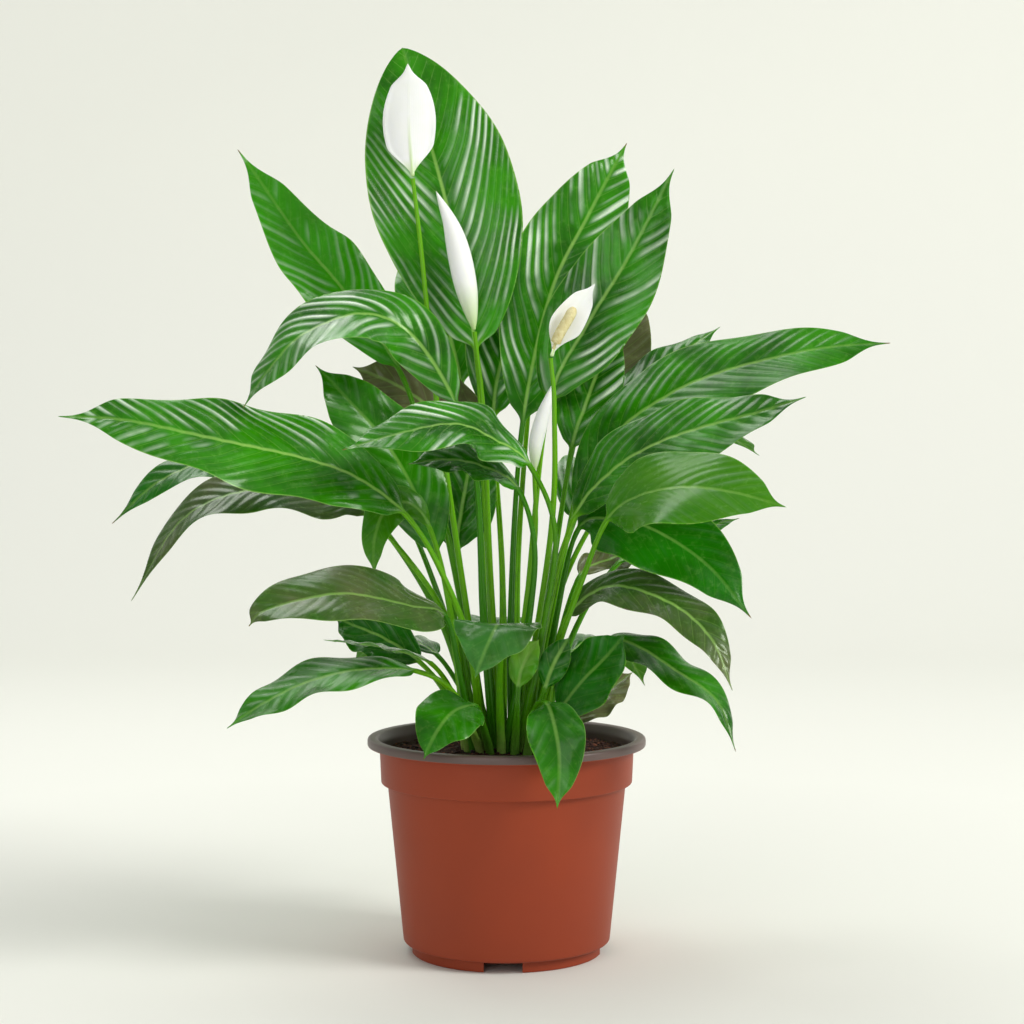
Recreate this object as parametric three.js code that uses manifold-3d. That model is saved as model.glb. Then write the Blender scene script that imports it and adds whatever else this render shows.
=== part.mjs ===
// A potted peace lily: a crown of long-stalked leaves and four white flowers, rooted in
// potting soil in a round two-colour nursery pot.
// Millimetres, +Z up, -Y to the front. The origin is on the pot's axis, at its underside.
//
// Each leaf is one solid, blade and petiole together, lofted along its own midrib. Its midrib
// points are measured from the middle of the soil's surface, on a plant that stands
// DRAWN_HEIGHT above the soil and spreads DRAWN_SPREAD from side to side.

import * as THREE from "three";
import { mergeVertices } from "three/addons/utils/BufferGeometryUtils.js";
import Module from "manifold-3d";

const wasm = await Module();
wasm.setup();

// ---- driving dimensions ------------------------------------------------------------------

// Nursery pot
const POT_HEIGHT = 190;
const POT_WALL = 1.8;
const BODY_TOP_RADIUS = 105;
const BODY_FOOT_RADIUS = 91;
const COLLAR_DEPTH = 40; // from the rim's top edge down to the step under the collar
const COLLAR_STEP = 5.5; // how far the collar stands out from the body below it
const COLLAR_FLARE = 1.5; // how much wider the collar is at its top
const LIP_OVERHANG = 10.5; // how far the rolled lip stands out from the collar
const LIP_HEIGHT = 9;
const LIP_ROUNDING = 2; // the lip's rolled edge
const FOOT_HEIGHT = 10;
const FOOT_INSET = 7; // from the body's lower edge in to the foot ring
const FOOT_WIDTH = 8;
const PAD_RADIUS = 42; // the flat pad in the middle of the underside
const CHANNEL_DEPTH = 8; // the drainage channel between the pad and the foot ring
const NOTCH_WIDTH = 33;
const NOTCH_HEIGHT = 8.5;
const NOTCH_COUNT = 4;
const NOTCH_TURN = -2; // degrees from the pot's right-hand side to the first notch
const DRAIN_HOLE_RADIUS = 5;
const DRAIN_HOLE_COUNT = 8;
const DRAIN_HOLE_SIDES = 10;
const POT_SEGMENTS = 48;

// Soil
const SOIL_BELOW_RIM = 13; // at the wall
const SOIL_CROWN_RISE = 2; // how far the soil is heaped up round the plant
const SOIL_CROWN_RADIUS = 48;
const SOIL_SLOPE_RADIUS = 70; // where the heap ends
const SOIL_EDGE_DIP = 1; // how far the soil sinks at the wall

// Plant
const PLANT_HEIGHT = 621; // from the soil to the tip of the tallest leaf
const PLANT_SPREAD = 690; // from the leftmost leaf tip to the rightmost one
const DRAWN_HEIGHT = 621;
const DRAWN_SPREAD = 690;
const PETIOLE_ROOT_RADIUS = 3.5;
const PETIOLE_NECK_RADIUS = 2;
const MIDRIB_HALF_THICKNESS = 0.9; // half of the blade's thickness along its midrib
const TIP_RADIUS = 0.4;
const LEAF_SIDES = 8;
const BLADE_RISE = 0.72; // how a blade widens from its neck
const BLADE_TAPER = 0.98; // and narrows to its drip tip

// Flowers
const STALK_ROOT_RADIUS = 3;
const STALK_TOP_RADIUS = 1.7;
const STALK_RINGS = 7;
const SPATHE_HALF_THICKNESS = 0.8;
const SPATHE_SEAT = 1.2; // from the stalk's top to the spathe's foot
const SPADIX_RADIUS = 4.5;
const STIPE_RADIUS = 1.4; // the short bare stem under the spadix

// Gap between pieces that touch on the real plant
const GAP = 0.3;

// ---- small helpers -----------------------------------------------------------------------

const SOIL_LEVEL = POT_HEIGHT - SOIL_BELOW_RIM + SOIL_CROWN_RISE;
const ROOT_PITCH = 2 * PETIOLE_ROOT_RADIUS + 2; // from one ring of petioles to the next

const mix = (a, b, share) => a + (b - a) * share;
const radians = THREE.MathUtils.degToRad;

function material(color, roughness) {
  return new THREE.MeshStandardMaterial({ color, roughness, metalness: 0 });
}

function solidOf(geometry) {
  const bare = geometry.clone();
  bare.deleteAttribute("normal");
  bare.deleteAttribute("uv");
  const merged = mergeVertices(bare, 1e-4);
  return new wasm.Manifold(
    new wasm.Mesh({
      numProp: 3,
      vertProperties: new Float32Array(merged.getAttribute("position").array),
      triVerts: new Uint32Array(merged.index.array),
    }),
  );
}

function geometryOf(solid) {
  const mesh = solid.getMesh();
  const geometry = new THREE.BufferGeometry();
  const points = new THREE.BufferAttribute(new Float32Array(mesh.vertProperties), 3);
  geometry.setAttribute("position", points);
  geometry.setIndex(new THREE.BufferAttribute(new Uint32Array(mesh.triVerts), 1));
  geometry.computeVertexNormals();
  return geometry;
}

// A solid of revolution about Z from [radius, height] points that start and end on the axis.
function turned(outline, segments) {
  const points = outline.map(([radius, height]) => new THREE.Vector2(radius, height));
  return new THREE.LatheGeometry(points, segments).rotateX(Math.PI / 2);
}

// ---- pot and soil ------------------------------------------------------------------------

const collarFoot = POT_HEIGHT - COLLAR_DEPTH;
const lipFoot = POT_HEIGHT - LIP_HEIGHT;
const collarFootRadius = BODY_TOP_RADIUS + COLLAR_STEP;
const collarTopRadius = collarFootRadius + COLLAR_FLARE;
const rimRadius = collarTopRadius + LIP_OVERHANG;
const footRadius = BODY_FOOT_RADIUS - FOOT_INSET;
const channelOuter = footRadius - FOOT_WIDTH;
const floorTop = CHANNEL_DEPTH + POT_WALL;

// The inside of the wall from the collar's mouth down to the floor, as [radius, height].
const insideWall = [
  [collarTopRadius - POT_WALL, lipFoot],
  [collarFootRadius - POT_WALL, collarFoot + POT_WALL],
  [BODY_TOP_RADIUS - POT_WALL, collarFoot - POT_WALL],
  [BODY_FOOT_RADIUS - POT_WALL, FOOT_HEIGHT + POT_WALL],
];

function potOutline() {
  const lipEdge = rimRadius - LIP_ROUNDING;
  return [
    [0, 0],
    [PAD_RADIUS, 0],
    [PAD_RADIUS, CHANNEL_DEPTH],
    [channelOuter, CHANNEL_DEPTH],
    [channelOuter, 0],
    [footRadius, 0],
    [footRadius, FOOT_HEIGHT],
    [BODY_FOOT_RADIUS, FOOT_HEIGHT],
    [BODY_TOP_RADIUS, collarFoot],
    [collarFootRadius, collarFoot],
    [collarTopRadius, lipFoot],
    [lipEdge, lipFoot],
    [rimRadius, lipFoot + LIP_ROUNDING],
    [rimRadius, POT_HEIGHT - LIP_ROUNDING],
    [lipEdge, POT_HEIGHT],
    [collarTopRadius + LIP_ROUNDING, POT_HEIGHT],
    ...insideWall,
    [channelOuter, floorTop],
    [PAD_RADIUS, floorTop],
    [PAD_RADIUS - POT_WALL, POT_WALL],
    [0, POT_WALL],
  ];
}

function pot() {
  let solid = solidOf(turned(potOutline(), POT_SEGMENTS));
  const notchDepth = FOOT_WIDTH * 3; // right through the foot ring
  for (let i = 0; i < NOTCH_COUNT; i++) {
    const angle = (2 * Math.PI * i) / NOTCH_COUNT + radians(NOTCH_TURN);
    const notch = new THREE.BoxGeometry(notchDepth, NOTCH_WIDTH, NOTCH_HEIGHT * 2);
    notch.translate((channelOuter + footRadius) / 2, 0, 0).rotateZ(angle);
    solid = solid.subtract(solidOf(notch));
  }
  for (let i = 0; i < DRAIN_HOLE_COUNT; i++) {
    const angle = (2 * Math.PI * (i + 0.5)) / DRAIN_HOLE_COUNT;
    const hole = new THREE.CylinderGeometry(
      DRAIN_HOLE_RADIUS,
      DRAIN_HOLE_RADIUS,
      POT_WALL * 4,
      DRAIN_HOLE_SIDES,
    );
    hole.rotateX(Math.PI / 2);
    hole.translate((PAD_RADIUS + channelOuter) / 2, 0, floorTop).rotateZ(angle);
    solid = solid.subtract(solidOf(hole));
  }
  return geometryOf(solid);
}

function soil() {
  const slopeFoot = SOIL_LEVEL - SOIL_CROWN_RISE;
  const edge = slopeFoot - SOIL_EDGE_DIP;
  const [mouth, collar, body, foot] = insideWall;
  const share = (edge - collar[1]) / (mouth[1] - collar[1]);
  return turned(
    [
      [0, floorTop + GAP],
      [foot[0] - GAP, foot[1] + GAP],
      [body[0] - GAP, body[1]],
      [collar[0] - GAP, collar[1] + GAP],
      [mix(collar[0], mouth[0], share) - GAP, edge],
      [SOIL_SLOPE_RADIUS, slopeFoot],
      [SOIL_CROWN_RADIUS, SOIL_LEVEL],
      [0, SOIL_LEVEL],
    ],
    POT_SEGMENTS,
  );
}

// ---- lofts along a midrib or a stalk -----------------------------------------------------

// A length across the reference plant, on this one: blades widen as the plant spreads.
const spread = (length) => (length * PLANT_SPREAD) / DRAWN_SPREAD;

// A point drawn on the reference plant, set on this one.
function onPlant([x, y, z]) {
  const tall = PLANT_HEIGHT / DRAWN_HEIGHT;
  return new THREE.Vector3(spread(x), spread(y), SOIL_LEVEL + z * tall);
}

// A point that clears the pot's rim: direction in degrees, distance out from the lip's edge
// and height above it.
function pastRim([direction, out, up]) {
  const angle = radians(direction);
  const reach = rimRadius + out;
  return new THREE.Vector3(reach * Math.cos(angle), reach * Math.sin(angle), POT_HEIGHT + up);
}

// Where a petiole or a stalk leaves the soil: its direction in degrees and its ring, counted
// outwards from the middle of the crown.
function rootPoint([direction, ring]) {
  const angle = radians(direction);
  const reach = ring * ROOT_PITCH;
  return new THREE.Vector3(reach * Math.cos(angle), reach * Math.sin(angle), SOIL_LEVEL + GAP);
}

function curveThrough(points) {
  return new THREE.CatmullRomCurve3(points, false, "catmullrom", 0.5);
}

// Cuts the lower side's quads along the same diagonals as the upper side's, so that the two
// sides of a thin twisted blade never cross.
function matchDiagonals(index, sides, rings) {
  for (let side = Math.ceil(sides / 4); side < (3 * sides) / 4; side++) {
    for (let ring = 0; ring < rings; ring++) {
      const start = 6 * (side * rings + ring);
      const [a, b, d, , c] = index.array.slice(start, start + 6);
      index.array.set([a, b, c, a, c, d], start);
    }
  }
}

// A closed skin along a curve: at each station, shape(share) gives the section's half width,
// half thickness and the angle by which its two sides fold up towards the face. What stands on
// the soil has its first section cut level.
function loft({ curve, stations, sides, faceAt, shape, cutLevel = false }) {
  const rings = stations.length - 1;
  const skin = new THREE.CylinderGeometry(1, 1, 1, sides, rings);
  skin.deleteAttribute("normal");
  skin.deleteAttribute("uv");
  const closed = mergeVertices(skin, 1e-4);
  matchDiagonals(closed.index, sides, rings);
  const position = closed.getAttribute("position");
  const spot = new THREE.Vector3();
  for (let i = 0; i < position.count; i++) {
    spot.fromBufferAttribute(position, i);
    const along = stations[Math.round((spot.y + 0.5) * rings)];
    const tangent = curve.getTangent(along);
    const face = faceAt(along).clone();
    face.addScaledVector(tangent, -face.dot(tangent)).normalize();
    const side = new THREE.Vector3().crossVectors(tangent, face);
    const { halfWidth, halfThickness, fold } = shape(along);
    const across = spot.x * halfWidth * Math.cos(fold);
    const lift = Math.abs(spot.x) * halfWidth * Math.sin(fold);
    const raised = spot.z * halfThickness + lift;
    const middle = curve.getPoint(along);
    spot.copy(middle).addScaledVector(side, across).addScaledVector(face, raised);
    if (along === 0 && cutLevel) spot.z = middle.z;
    position.setXYZ(i, spot.x, spot.y, spot.z);
  }
  closed.computeVertexNormals();
  return closed;
}

// The outline of a blade, from the neck (0) to the drip tip (1): widest, 1, at four tenths.
function bladeOutline(share) {
  const widest = BLADE_RISE / (BLADE_RISE + BLADE_TAPER);
  const shape = (s) => Math.pow(s, BLADE_RISE) * Math.pow(1 - s, BLADE_TAPER);
  return shape(share) / shape(widest);
}

const PETIOLE_STATIONS = [0, 0.25, 0.5, 0.75];
const BLADE_STATIONS = [0, 0.06, 0.2, 0.4, 0.6, 0.8, 0.93, 1];

// One leaf: petiole points from the root to the neck, then the blade's midrib to its tip.
// face is the way its upper side looks at the neck, and tipFace at the tip.
function leaf({ root, petiole, blade, width, face, tipFace = face, fold = 7, rim }) {
  const place = rim ? pastRim : onPlant;
  const points = [rootPoint(root), ...petiole.map(onPlant), ...blade.map(place)];
  const curve = curveThrough(points);
  const neck = (petiole.length + 1) / (points.length - 1);
  const stations = [
    ...PETIOLE_STATIONS.map((share) => share * neck),
    ...BLADE_STATIONS.map((share) => mix(neck, 1, share)),
  ];
  const looks = new THREE.Vector3(...face);
  const tipLooks = new THREE.Vector3(...tipFace);
  return loft({
    curve,
    stations,
    sides: LEAF_SIDES,
    cutLevel: true,
    faceAt: (along) => {
      const share = Math.max(0, (along - neck) / (1 - neck));
      return new THREE.Vector3().lerpVectors(looks, tipLooks, share);
    },
    shape: (along) => {
      if (along <= neck) {
        const radius = mix(PETIOLE_ROOT_RADIUS, PETIOLE_NECK_RADIUS, along / neck);
        return { halfWidth: radius, halfThickness: radius, fold: 0 };
      }
      const share = (along - neck) / (1 - neck);
      const outline = (spread(width) / 2) * bladeOutline(Math.min(share, 1));
      const thick = mix(MIDRIB_HALF_THICKNESS, TIP_RADIUS, share);
      const stub = PETIOLE_NECK_RADIUS * Math.pow(1 - share, 12);
      return {
        halfWidth: Math.max(outline, TIP_RADIUS, stub),
        halfThickness: Math.max(thick, stub),
        fold: radians(fold) * Math.min(1, share * 8),
      };
    },
  });
}

// ---- flowers -----------------------------------------------------------------------------

// Sets points that are measured from a stalk's top, so a flower keeps its size and its shape.
function fromTop(stalkPoints) {
  const top = onPlant(stalkPoints.at(-1));
  return ([x, y, z]) => new THREE.Vector3(top.x + x, top.y + y, top.z + z);
}

function stalk({ root, stalkPoints }) {
  const curve = curveThrough([rootPoint(root), ...stalkPoints.map(onPlant)]);
  return loft({
    curve,
    stations: Array.from({ length: STALK_RINGS + 1 }, (_, i) => i / STALK_RINGS),
    sides: LEAF_SIDES,
    cutLevel: true,
    faceAt: () => new THREE.Vector3(0, -1, 0.2),
    shape: (along) => {
      const radius = mix(STALK_ROOT_RADIUS, STALK_TOP_RADIUS, along);
      return { halfWidth: radius, halfThickness: radius, fold: 0 };
    },
  });
}

// The white spathe. An open one is a cupped blade, and a bud is rolled up into a spindle.
function spathe({ stalkPoints, spathePoints, width, face, fold, rolled }) {
  const place = fromTop(stalkPoints);
  const rise = new THREE.Vector3(...spathePoints[0]).setLength(SPATHE_SEAT);
  const curve = curveThrough([place(rise.toArray()), ...spathePoints.map(place)]);
  return loft({
    curve,
    stations: [0, 0.07, 0.2, 0.36, 0.52, 0.68, 0.84, 0.94, 1],
    sides: 12,
    faceAt: () => new THREE.Vector3(...face),
    shape: (along) => {
      const outline = (width / 2) * bladeOutline(along);
      const halfWidth = Math.max(outline, mix(STALK_TOP_RADIUS, TIP_RADIUS, along));
      const stub = STALK_TOP_RADIUS * Math.pow(1 - along, 8);
      const thin = Math.max(SPATHE_HALF_THICKNESS * (1 - 0.5 * along), stub);
      return {
        halfWidth,
        halfThickness: rolled ? halfWidth : thin,
        fold: rolled ? 0 : radians(fold) * Math.min(1, along * 5),
      };
    },
  });
}

// The spadix stands on a short bare stipe, in front of the spathe's inner side.
function spadix({ stalkPoints, spadixPoints }) {
  const curve = curveThrough(spadixPoints.map(fromTop(stalkPoints)));
  return loft({
    curve,
    stations: [0, 0.12, 0.2, 0.35, 0.6, 0.85, 0.96, 1],
    sides: 10,
    faceAt: () => new THREE.Vector3(0, -1, 0.3),
    shape: (along) => {
      const round = Math.sqrt(Math.max(0, 1 - Math.pow(Math.max(0, along - 0.8) / 0.22, 2)));
      const radius = along < 0.15 ? STIPE_RADIUS : SPADIX_RADIUS * round;
      return { halfWidth: radius, halfThickness: radius, fold: 0 };
    },
  });
}

// ---- the plant's leaves ------------------------------------------------------------------

const LEAVES = {
  // tall leaves in the middle
  leaf_tallest: {
    root: [170, 1],
    petiole: [[-13, 2, 110], [-20, 6, 235]],
    blade: [[-27, 14, 350], [-46, 22, 450], [-68, 30, 535], [-93, 42, 621]],
    width: 134,
    face: [0.1, -1, 0.2],
    fold: 8,
  },
  leaf_tall_right: {
    root: [56, 1],
    petiole: [[4, 14, 130]],
    blade: [[14, 30, 285], [39, 45, 402], [74, 57, 475], [109, 72, 541]],
    width: 92,
    face: [0.2, -1, 0.25],
    fold: 12,
  },
  leaf_tall_outer_right: {
    root: [0, 1],
    petiole: [[20, 0, 150]],
    blade: [[37, 6, 302], [70, 2, 372], [107, -3, 432], [146, -8, 508]],
    width: 84,
    face: [-0.2, -1, 0.35],
  },
  leaf_striped_middle: {
    root: [112, 1],
    petiole: [[-4, 44, 150]],
    blade: [[-12, 68, 290], [-4, 76, 350], [6, 84, 405], [18, 94, 458]],
    width: 72,
    face: [0.1, -1, 0.1],
  },
  leaf_upper_left: {
    root: [172, 2],
    petiole: [[-44, 8, 150], [-72, 24, 262]],
    blade: [[-97, 45, 335], [-149, 60, 408], [-188, 72, 455], [-247, 92, 538]],
    width: 78,
    face: [0.3, -0.85, 0.4],
  },
  leaf_striped_small: {
    root: [25, 2],
    petiole: [[40, 26, 150]],
    blade: [[58, 46, 262], [70, 52, 300], [84, 58, 338], [100, 64, 378]],
    width: 60,
    face: [-0.2, -1, 0.1],
  },
  leaf_olive_right: {
    root: [54, 2],
    petiole: [[38, 50, 140]],
    blade: [[62, 92, 270], [84, 108, 330], [104, 120, 372], [124, 132, 412]],
    width: 84,
    face: [-0.2, -1, 0.2],
  },
  leaf_olive_left: {
    root: [110, 2],
    petiole: [[-16, 36, 110]],
    blade: [[-28, 44, 232], [-54, 48, 285], [-94, 54, 318], [-140, 62, 338]],
    width: 84,
    face: [0.3, -0.9, 0.3],
  },
  leaf_dark_upright: {
    root: [140, 2],
    petiole: [[-36, 22, 90]],
    blade: [[-44, 28, 172], [-41, 30, 205], [-34, 32, 245], [-26, 34, 290]],
    width: 60,
    face: [0, -1, 0.1],
  },

  // leaves that reach out to the left
  leaf_arching_left: {
    root: [232, 2],
    petiole: [[-20, -26, 120], [-26, -32, 236]],
    blade: [[-42, -42, 300], [-80, -58, 360], [-122, -78, 378], [-168, -100, 360], [-195, -112, 330],
      [-216, -122, 298]],
    width: 62,
    face: [-0.1, -0.75, 0.65],
    tipFace: [-0.75, -0.55, 0.35],
  },
  leaf_middle_left: {
    root: [196, 3],
    petiole: [[-42, -16, 100]],
    blade: [[-60, -20, 172], [-80, -26, 228], [-106, -31, 272], [-136, -36, 306], [-164, -40, 336]],
    width: 72,
    face: [0.2, -0.85, 0.4],
  },
  leaf_broad_left: {
    root: [215, 3],
    petiole: [[-31, -40, 91], [-56, -60, 161]],
    blade: [[-85, -75, 209], [-126, -92, 241], [-165, -106, 256], [-213, -124, 267], [-257, -140, 277],
      [-310, -158, 288], [-357, -172, 291]],
    width: 92,
    face: [0.05, -0.75, 0.65],
  },
  leaf_dark_left: {
    root: [150, 3],
    petiole: [[-58, 24, 110], [-112, 24, 196]],
    blade: [[-155, 22, 232], [-205, 12, 250], [-255, 0, 254], [-302, -14, 236], [-342, -28, 199]],
    width: 52,
    face: [-0.1, -0.6, 0.8],
  },
  leaf_drooping_left: {
    root: [170, 3],
    petiole: [[-50, 0, 110]],
    blade: [[-118, -14, 204], [-160, -24, 222], [-216, -42, 229], [-273, -62, 206], [-316, -82, 136]],
    width: 62,
    face: [-0.15, -0.6, 0.75],
    tipFace: [-0.6, -0.55, 0.5],
  },
  leaf_hanging_left: {
    root: [202, 4],
    petiole: [[-50, -28, 130]],
    blade: [[-66, -41, 196], [-84, -50, 218], [-103, -58, 212], [-112, -62, 186], [-112, -62, 154]],
    width: 36,
    face: [0.5, -0.7, 0.5],
    tipFace: [-0.6, -0.8, 0.1],
  },
  leaf_low_left: {
    root: [218, 4],
    petiole: [[-40, -44, 70]],
    blade: [[-52, -62, 122], [-80, -84, 132], [-129, -110, 145], [-165, -126, 142], [-198, -140, 132],
      [-209, -146, 121]],
    width: 80,
    face: [0, -0.55, 0.8],
  },
  leaf_lowest_left: {
    root: [233, 4],
    petiole: [[-44, -52, 54]],
    blade: [[-76, -70, 76], [-122, -95, 80], [-167, -115, 71], [-202, -130, 54], [-228, -142, 37]],
    width: 54,
    face: [-0.1, -0.5, 0.85],
    tipFace: [-0.4, -0.5, 0.7],
  },
  leaf_narrow_left: {
    root: [180, 4],
    petiole: [[-46, -8, 46]],
    blade: [[-66, -24, 78], [-96, -34, 90], [-127, -39, 96], [-158, -42, 100]],
    width: 38,
    face: [0, 0.1, 1],
  },
  leaf_dark_low_left: {
    root: [150, 4],
    petiole: [[-54, 30, 44]],
    blade: [[-78, 38, 72], [-110, 46, 92], [-135, 52, 102], [-156, 58, 110]],
    width: 58,
    face: [0.1, -0.6, 0.7],
  },

  // leaves that reach out to the right
  leaf_top_right: {
    root: [354, 2],
    petiole: [[34, 2, 120]],
    blade: [[60, 8, 204], [97, 16, 276], [144, 20, 312], [193, 20, 333], [243, 18, 346],
      [294, 12, 354], [338, 8, 357]],
    width: 88,
    face: [-0.1, -0.65, 0.75],
  },
  leaf_mid_right: {
    root: [323, 2],
    petiole: [[34, -20, 110]],
    blade: [[57, -32, 202], [90, -46, 245], [126, -58, 268], [166, -70, 282], [208, -82, 294],
      [250, -94, 308]],
    width: 80,
    face: [-0.15, -0.7, 0.7],
  },
  leaf_narrow_right: {
    root: [44, 3],
    petiole: [[44, 46, 130]],
    blade: [[77, 62, 281], [104, 70, 308], [133, 78, 331], [165, 88, 354], [197, 98, 376]],
    width: 54,
    face: [-0.3, -0.6, 0.7],
  },
  leaf_light_right: {
    root: [315, 3],
    petiole: [[40, -35, 80], [64, -62, 152]],
    blade: [[84, -84, 204], [108, -101, 225], [144, -122, 233], [186, -141, 229], [226, -154, 218]],
    width: 92,
    face: [0, -0.7, 0.7],
  },
  leaf_dark_right: {
    root: [340, 3],
    petiole: [[44, -16, 120]],
    blade: [[62, -24, 194], [92, -34, 203], [128, -48, 194], [170, -66, 166], [206, -86, 122]],
    width: 84,
    face: [-0.15, -0.7, 0.65],
  },
  leaf_tip_right: {
    root: [5, 3],
    petiole: [[60, 26, 100]],
    blade: [[100, 46, 160], [139, 58, 176], [180, 68, 191], [213, 78, 200]],
    width: 36,
    face: [0, -0.4, 0.9],
  },
  leaf_brown_right: {
    root: [24, 3],
    petiole: [[46, 34, 90]],
    blade: [[66, 56, 148], [92, 74, 162], [116, 88, 168], [140, 100, 166]],
    width: 46,
    face: [-0.1, -0.5, 0.85],
  },
  leaf_arching_right: {
    root: [330, 4],
    petiole: [[40, -26, 70]],
    blade: [[52, -30, 118], [89, -48, 146], [138, -82, 134], [170, -110, 106], [186, -126, 66]],
    width: 50,
    face: [0, -0.55, 0.8],
    tipFace: [0.5, -0.75, 0.3],
  },
  leaf_low_right: {
    root: [345, 4],
    petiole: [[56, -26, 70]],
    blade: [[84, -48, 100], [112, -64, 96], [142, -82, 78], [176, -102, 54], [190, -116, 14]],
    width: 46,
    face: [0.1, -0.6, 0.75],
    tipFace: [0.7, -0.5, 0.5],
  },
  leaf_dark_low_right: {
    root: [314, 4],
    petiole: [[34, -40, 22]],
    blade: [[44, -54, 38], [64, -66, 66], [84, -74, 88], [100, -80, 108]],
    width: 60,
    face: [-0.4, -0.8, 0.45],
  },
  leaf_olive_low_right: {
    root: [12, 4],
    petiole: [[44, 12, 12]],
    blade: [[56, 20, 22], [74, 28, 36], [94, 38, 49], [114, 48, 62]],
    width: 44,
    face: [-0.3, -0.7, 0.6],
  },

  // leaves at the front
  leaf_arching_front: {
    root: [290, 3],
    petiole: [[30, -40, 100], [42, -52, 190]],
    blade: [[20, -78, 250], [-9, -95, 272], [-40, -112, 285], [-86, -138, 277], [-132, -160, 264]],
    width: 72,
    face: [-0.05, -0.6, 0.8],
    tipFace: [-0.3, -0.7, 0.6],
  },
  leaf_under_arch: {
    root: [268, 3],
    petiole: [[18, -44, 110], [24, -56, 180]],
    blade: [[10, -68, 230], [-20, -82, 250], [-50, -92, 256], [-82, -102, 252]],
    width: 48,
    face: [-0.05, -0.55, 0.8],
  },
  leaf_front_middle: {
    root: [263, 4],
    petiole: [[-6, -46, 62]],
    blade: [[-4, -60, 104], [-7, -86, 117], [-16, -111, 101], [-26, -128, 76]],
    width: 76,
    face: [0, 0.4, 0.9],
    tipFace: [0, -0.85, 0.5],
  },
  leaf_young_light: {
    root: [281, 4],
    petiole: [[9, -45, 38]],
    blade: [[10, -49, 60], [13, -52, 76], [20, -54, 90], [28, -56, 102]],
    width: 26,
    face: [-0.2, -0.9, 0.3],
  },
  leaf_young_dark: {
    root: [298, 4],
    petiole: [[26, -47, 36]],
    blade: [[33, -55, 60], [39, -59, 78], [46, -62, 92], [54, -65, 105]],
    width: 26,
    face: [0, -0.9, 0.3],
  },
  leaf_over_rim_left: {
    root: [248, 4],
    petiole: [[-22, -56, 34]],
    blade: [[250, -46, 36], [246, -14, 34], [245, 14, 20], [244, 32, 0]],
    width: 56,
    face: [0.1, -0.55, 0.8],
    tipFace: [-0.1, -0.9, 0.4],
    rim: true,
  },
  leaf_over_rim_right: {
    root: [293, 5],
    petiole: [[24, -74, 44]],
    blade: [[288, -16, 42], [287.5, 8, 28], [287.5, 22, 0], [286, 28, -40]],
    width: 48,
    face: [0.05, -0.8, 0.6],
    tipFace: [0, -1, 0],
    rim: true,
  },

  // leaves at the back
  leaf_back_tall_left: {
    root: [94, 3],
    petiole: [[-20, 70, 170]],
    blade: [[-42, 112, 320], [-60, 146, 390], [-76, 176, 434], [-90, 204, 466]],
    width: 80,
    face: [-0.1, -0.6, 0.75],
  },
  leaf_back_tall_right: {
    root: [72, 3],
    petiole: [[10, 66, 160]],
    blade: [[22, 108, 320], [32, 142, 384], [40, 176, 426], [46, 208, 454]],
    width: 78,
    face: [0.1, -0.6, 0.75],
  },
  leaf_back_right: {
    root: [66, 4],
    petiole: [[34, 66, 110]],
    blade: [[62, 96, 196], [80, 136, 236], [94, 176, 244], [104, 214, 220]],
    width: 78,
    face: [0.2, 0.3, 0.9],
    tipFace: [0.4, 0.7, 0.5],
  },
  leaf_back_outer_right: {
    root: [34, 4],
    petiole: [[48, 74, 130]],
    blade: [[104, 96, 232], [156, 128, 270], [204, 158, 278], [244, 188, 256]],
    width: 74,
    face: [0.1, -0.1, 1],
    tipFace: [0.6, 0.3, 0.7],
  },
  leaf_back_outer_left: {
    root: [134, 4],
    petiole: [[-58, 52, 120]],
    blade: [[-104, 88, 222], [-152, 118, 258], [-198, 146, 264], [-238, 170, 240]],
    width: 76,
    face: [-0.1, -0.1, 1],
    tipFace: [-0.6, 0.3, 0.7],
  },
  leaf_back_low: {
    root: [98, 4],
    petiole: [[-8, 56, 50]],
    blade: [[-10, 88, 92], [-14, 124, 104], [-20, 160, 92], [-26, 192, 58]],
    width: 62,
    face: [0, 0.2, 1],
    tipFace: [0, 0.7, 0.7],
  },
  leaf_back_low_right: {
    root: [50, 4],
    petiole: [[36, 56, 40]],
    blade: [[60, 84, 76], [86, 112, 88], [112, 138, 72], [132, 158, 36]],
    width: 56,
    face: [0.2, 0.2, 1],
    tipFace: [0.5, 0.5, 0.6],
  },
  leaf_back_low_left: {
    root: [116, 4],
    petiole: [[-38, 54, 40]],
    blade: [[-64, 80, 74], [-94, 106, 86], [-124, 130, 72], [-146, 148, 36]],
    width: 58,
    face: [-0.2, 0.2, 1],
    tipFace: [-0.5, 0.5, 0.6],
  },
};

// ---- the flowers -------------------------------------------------------------------------

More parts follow.
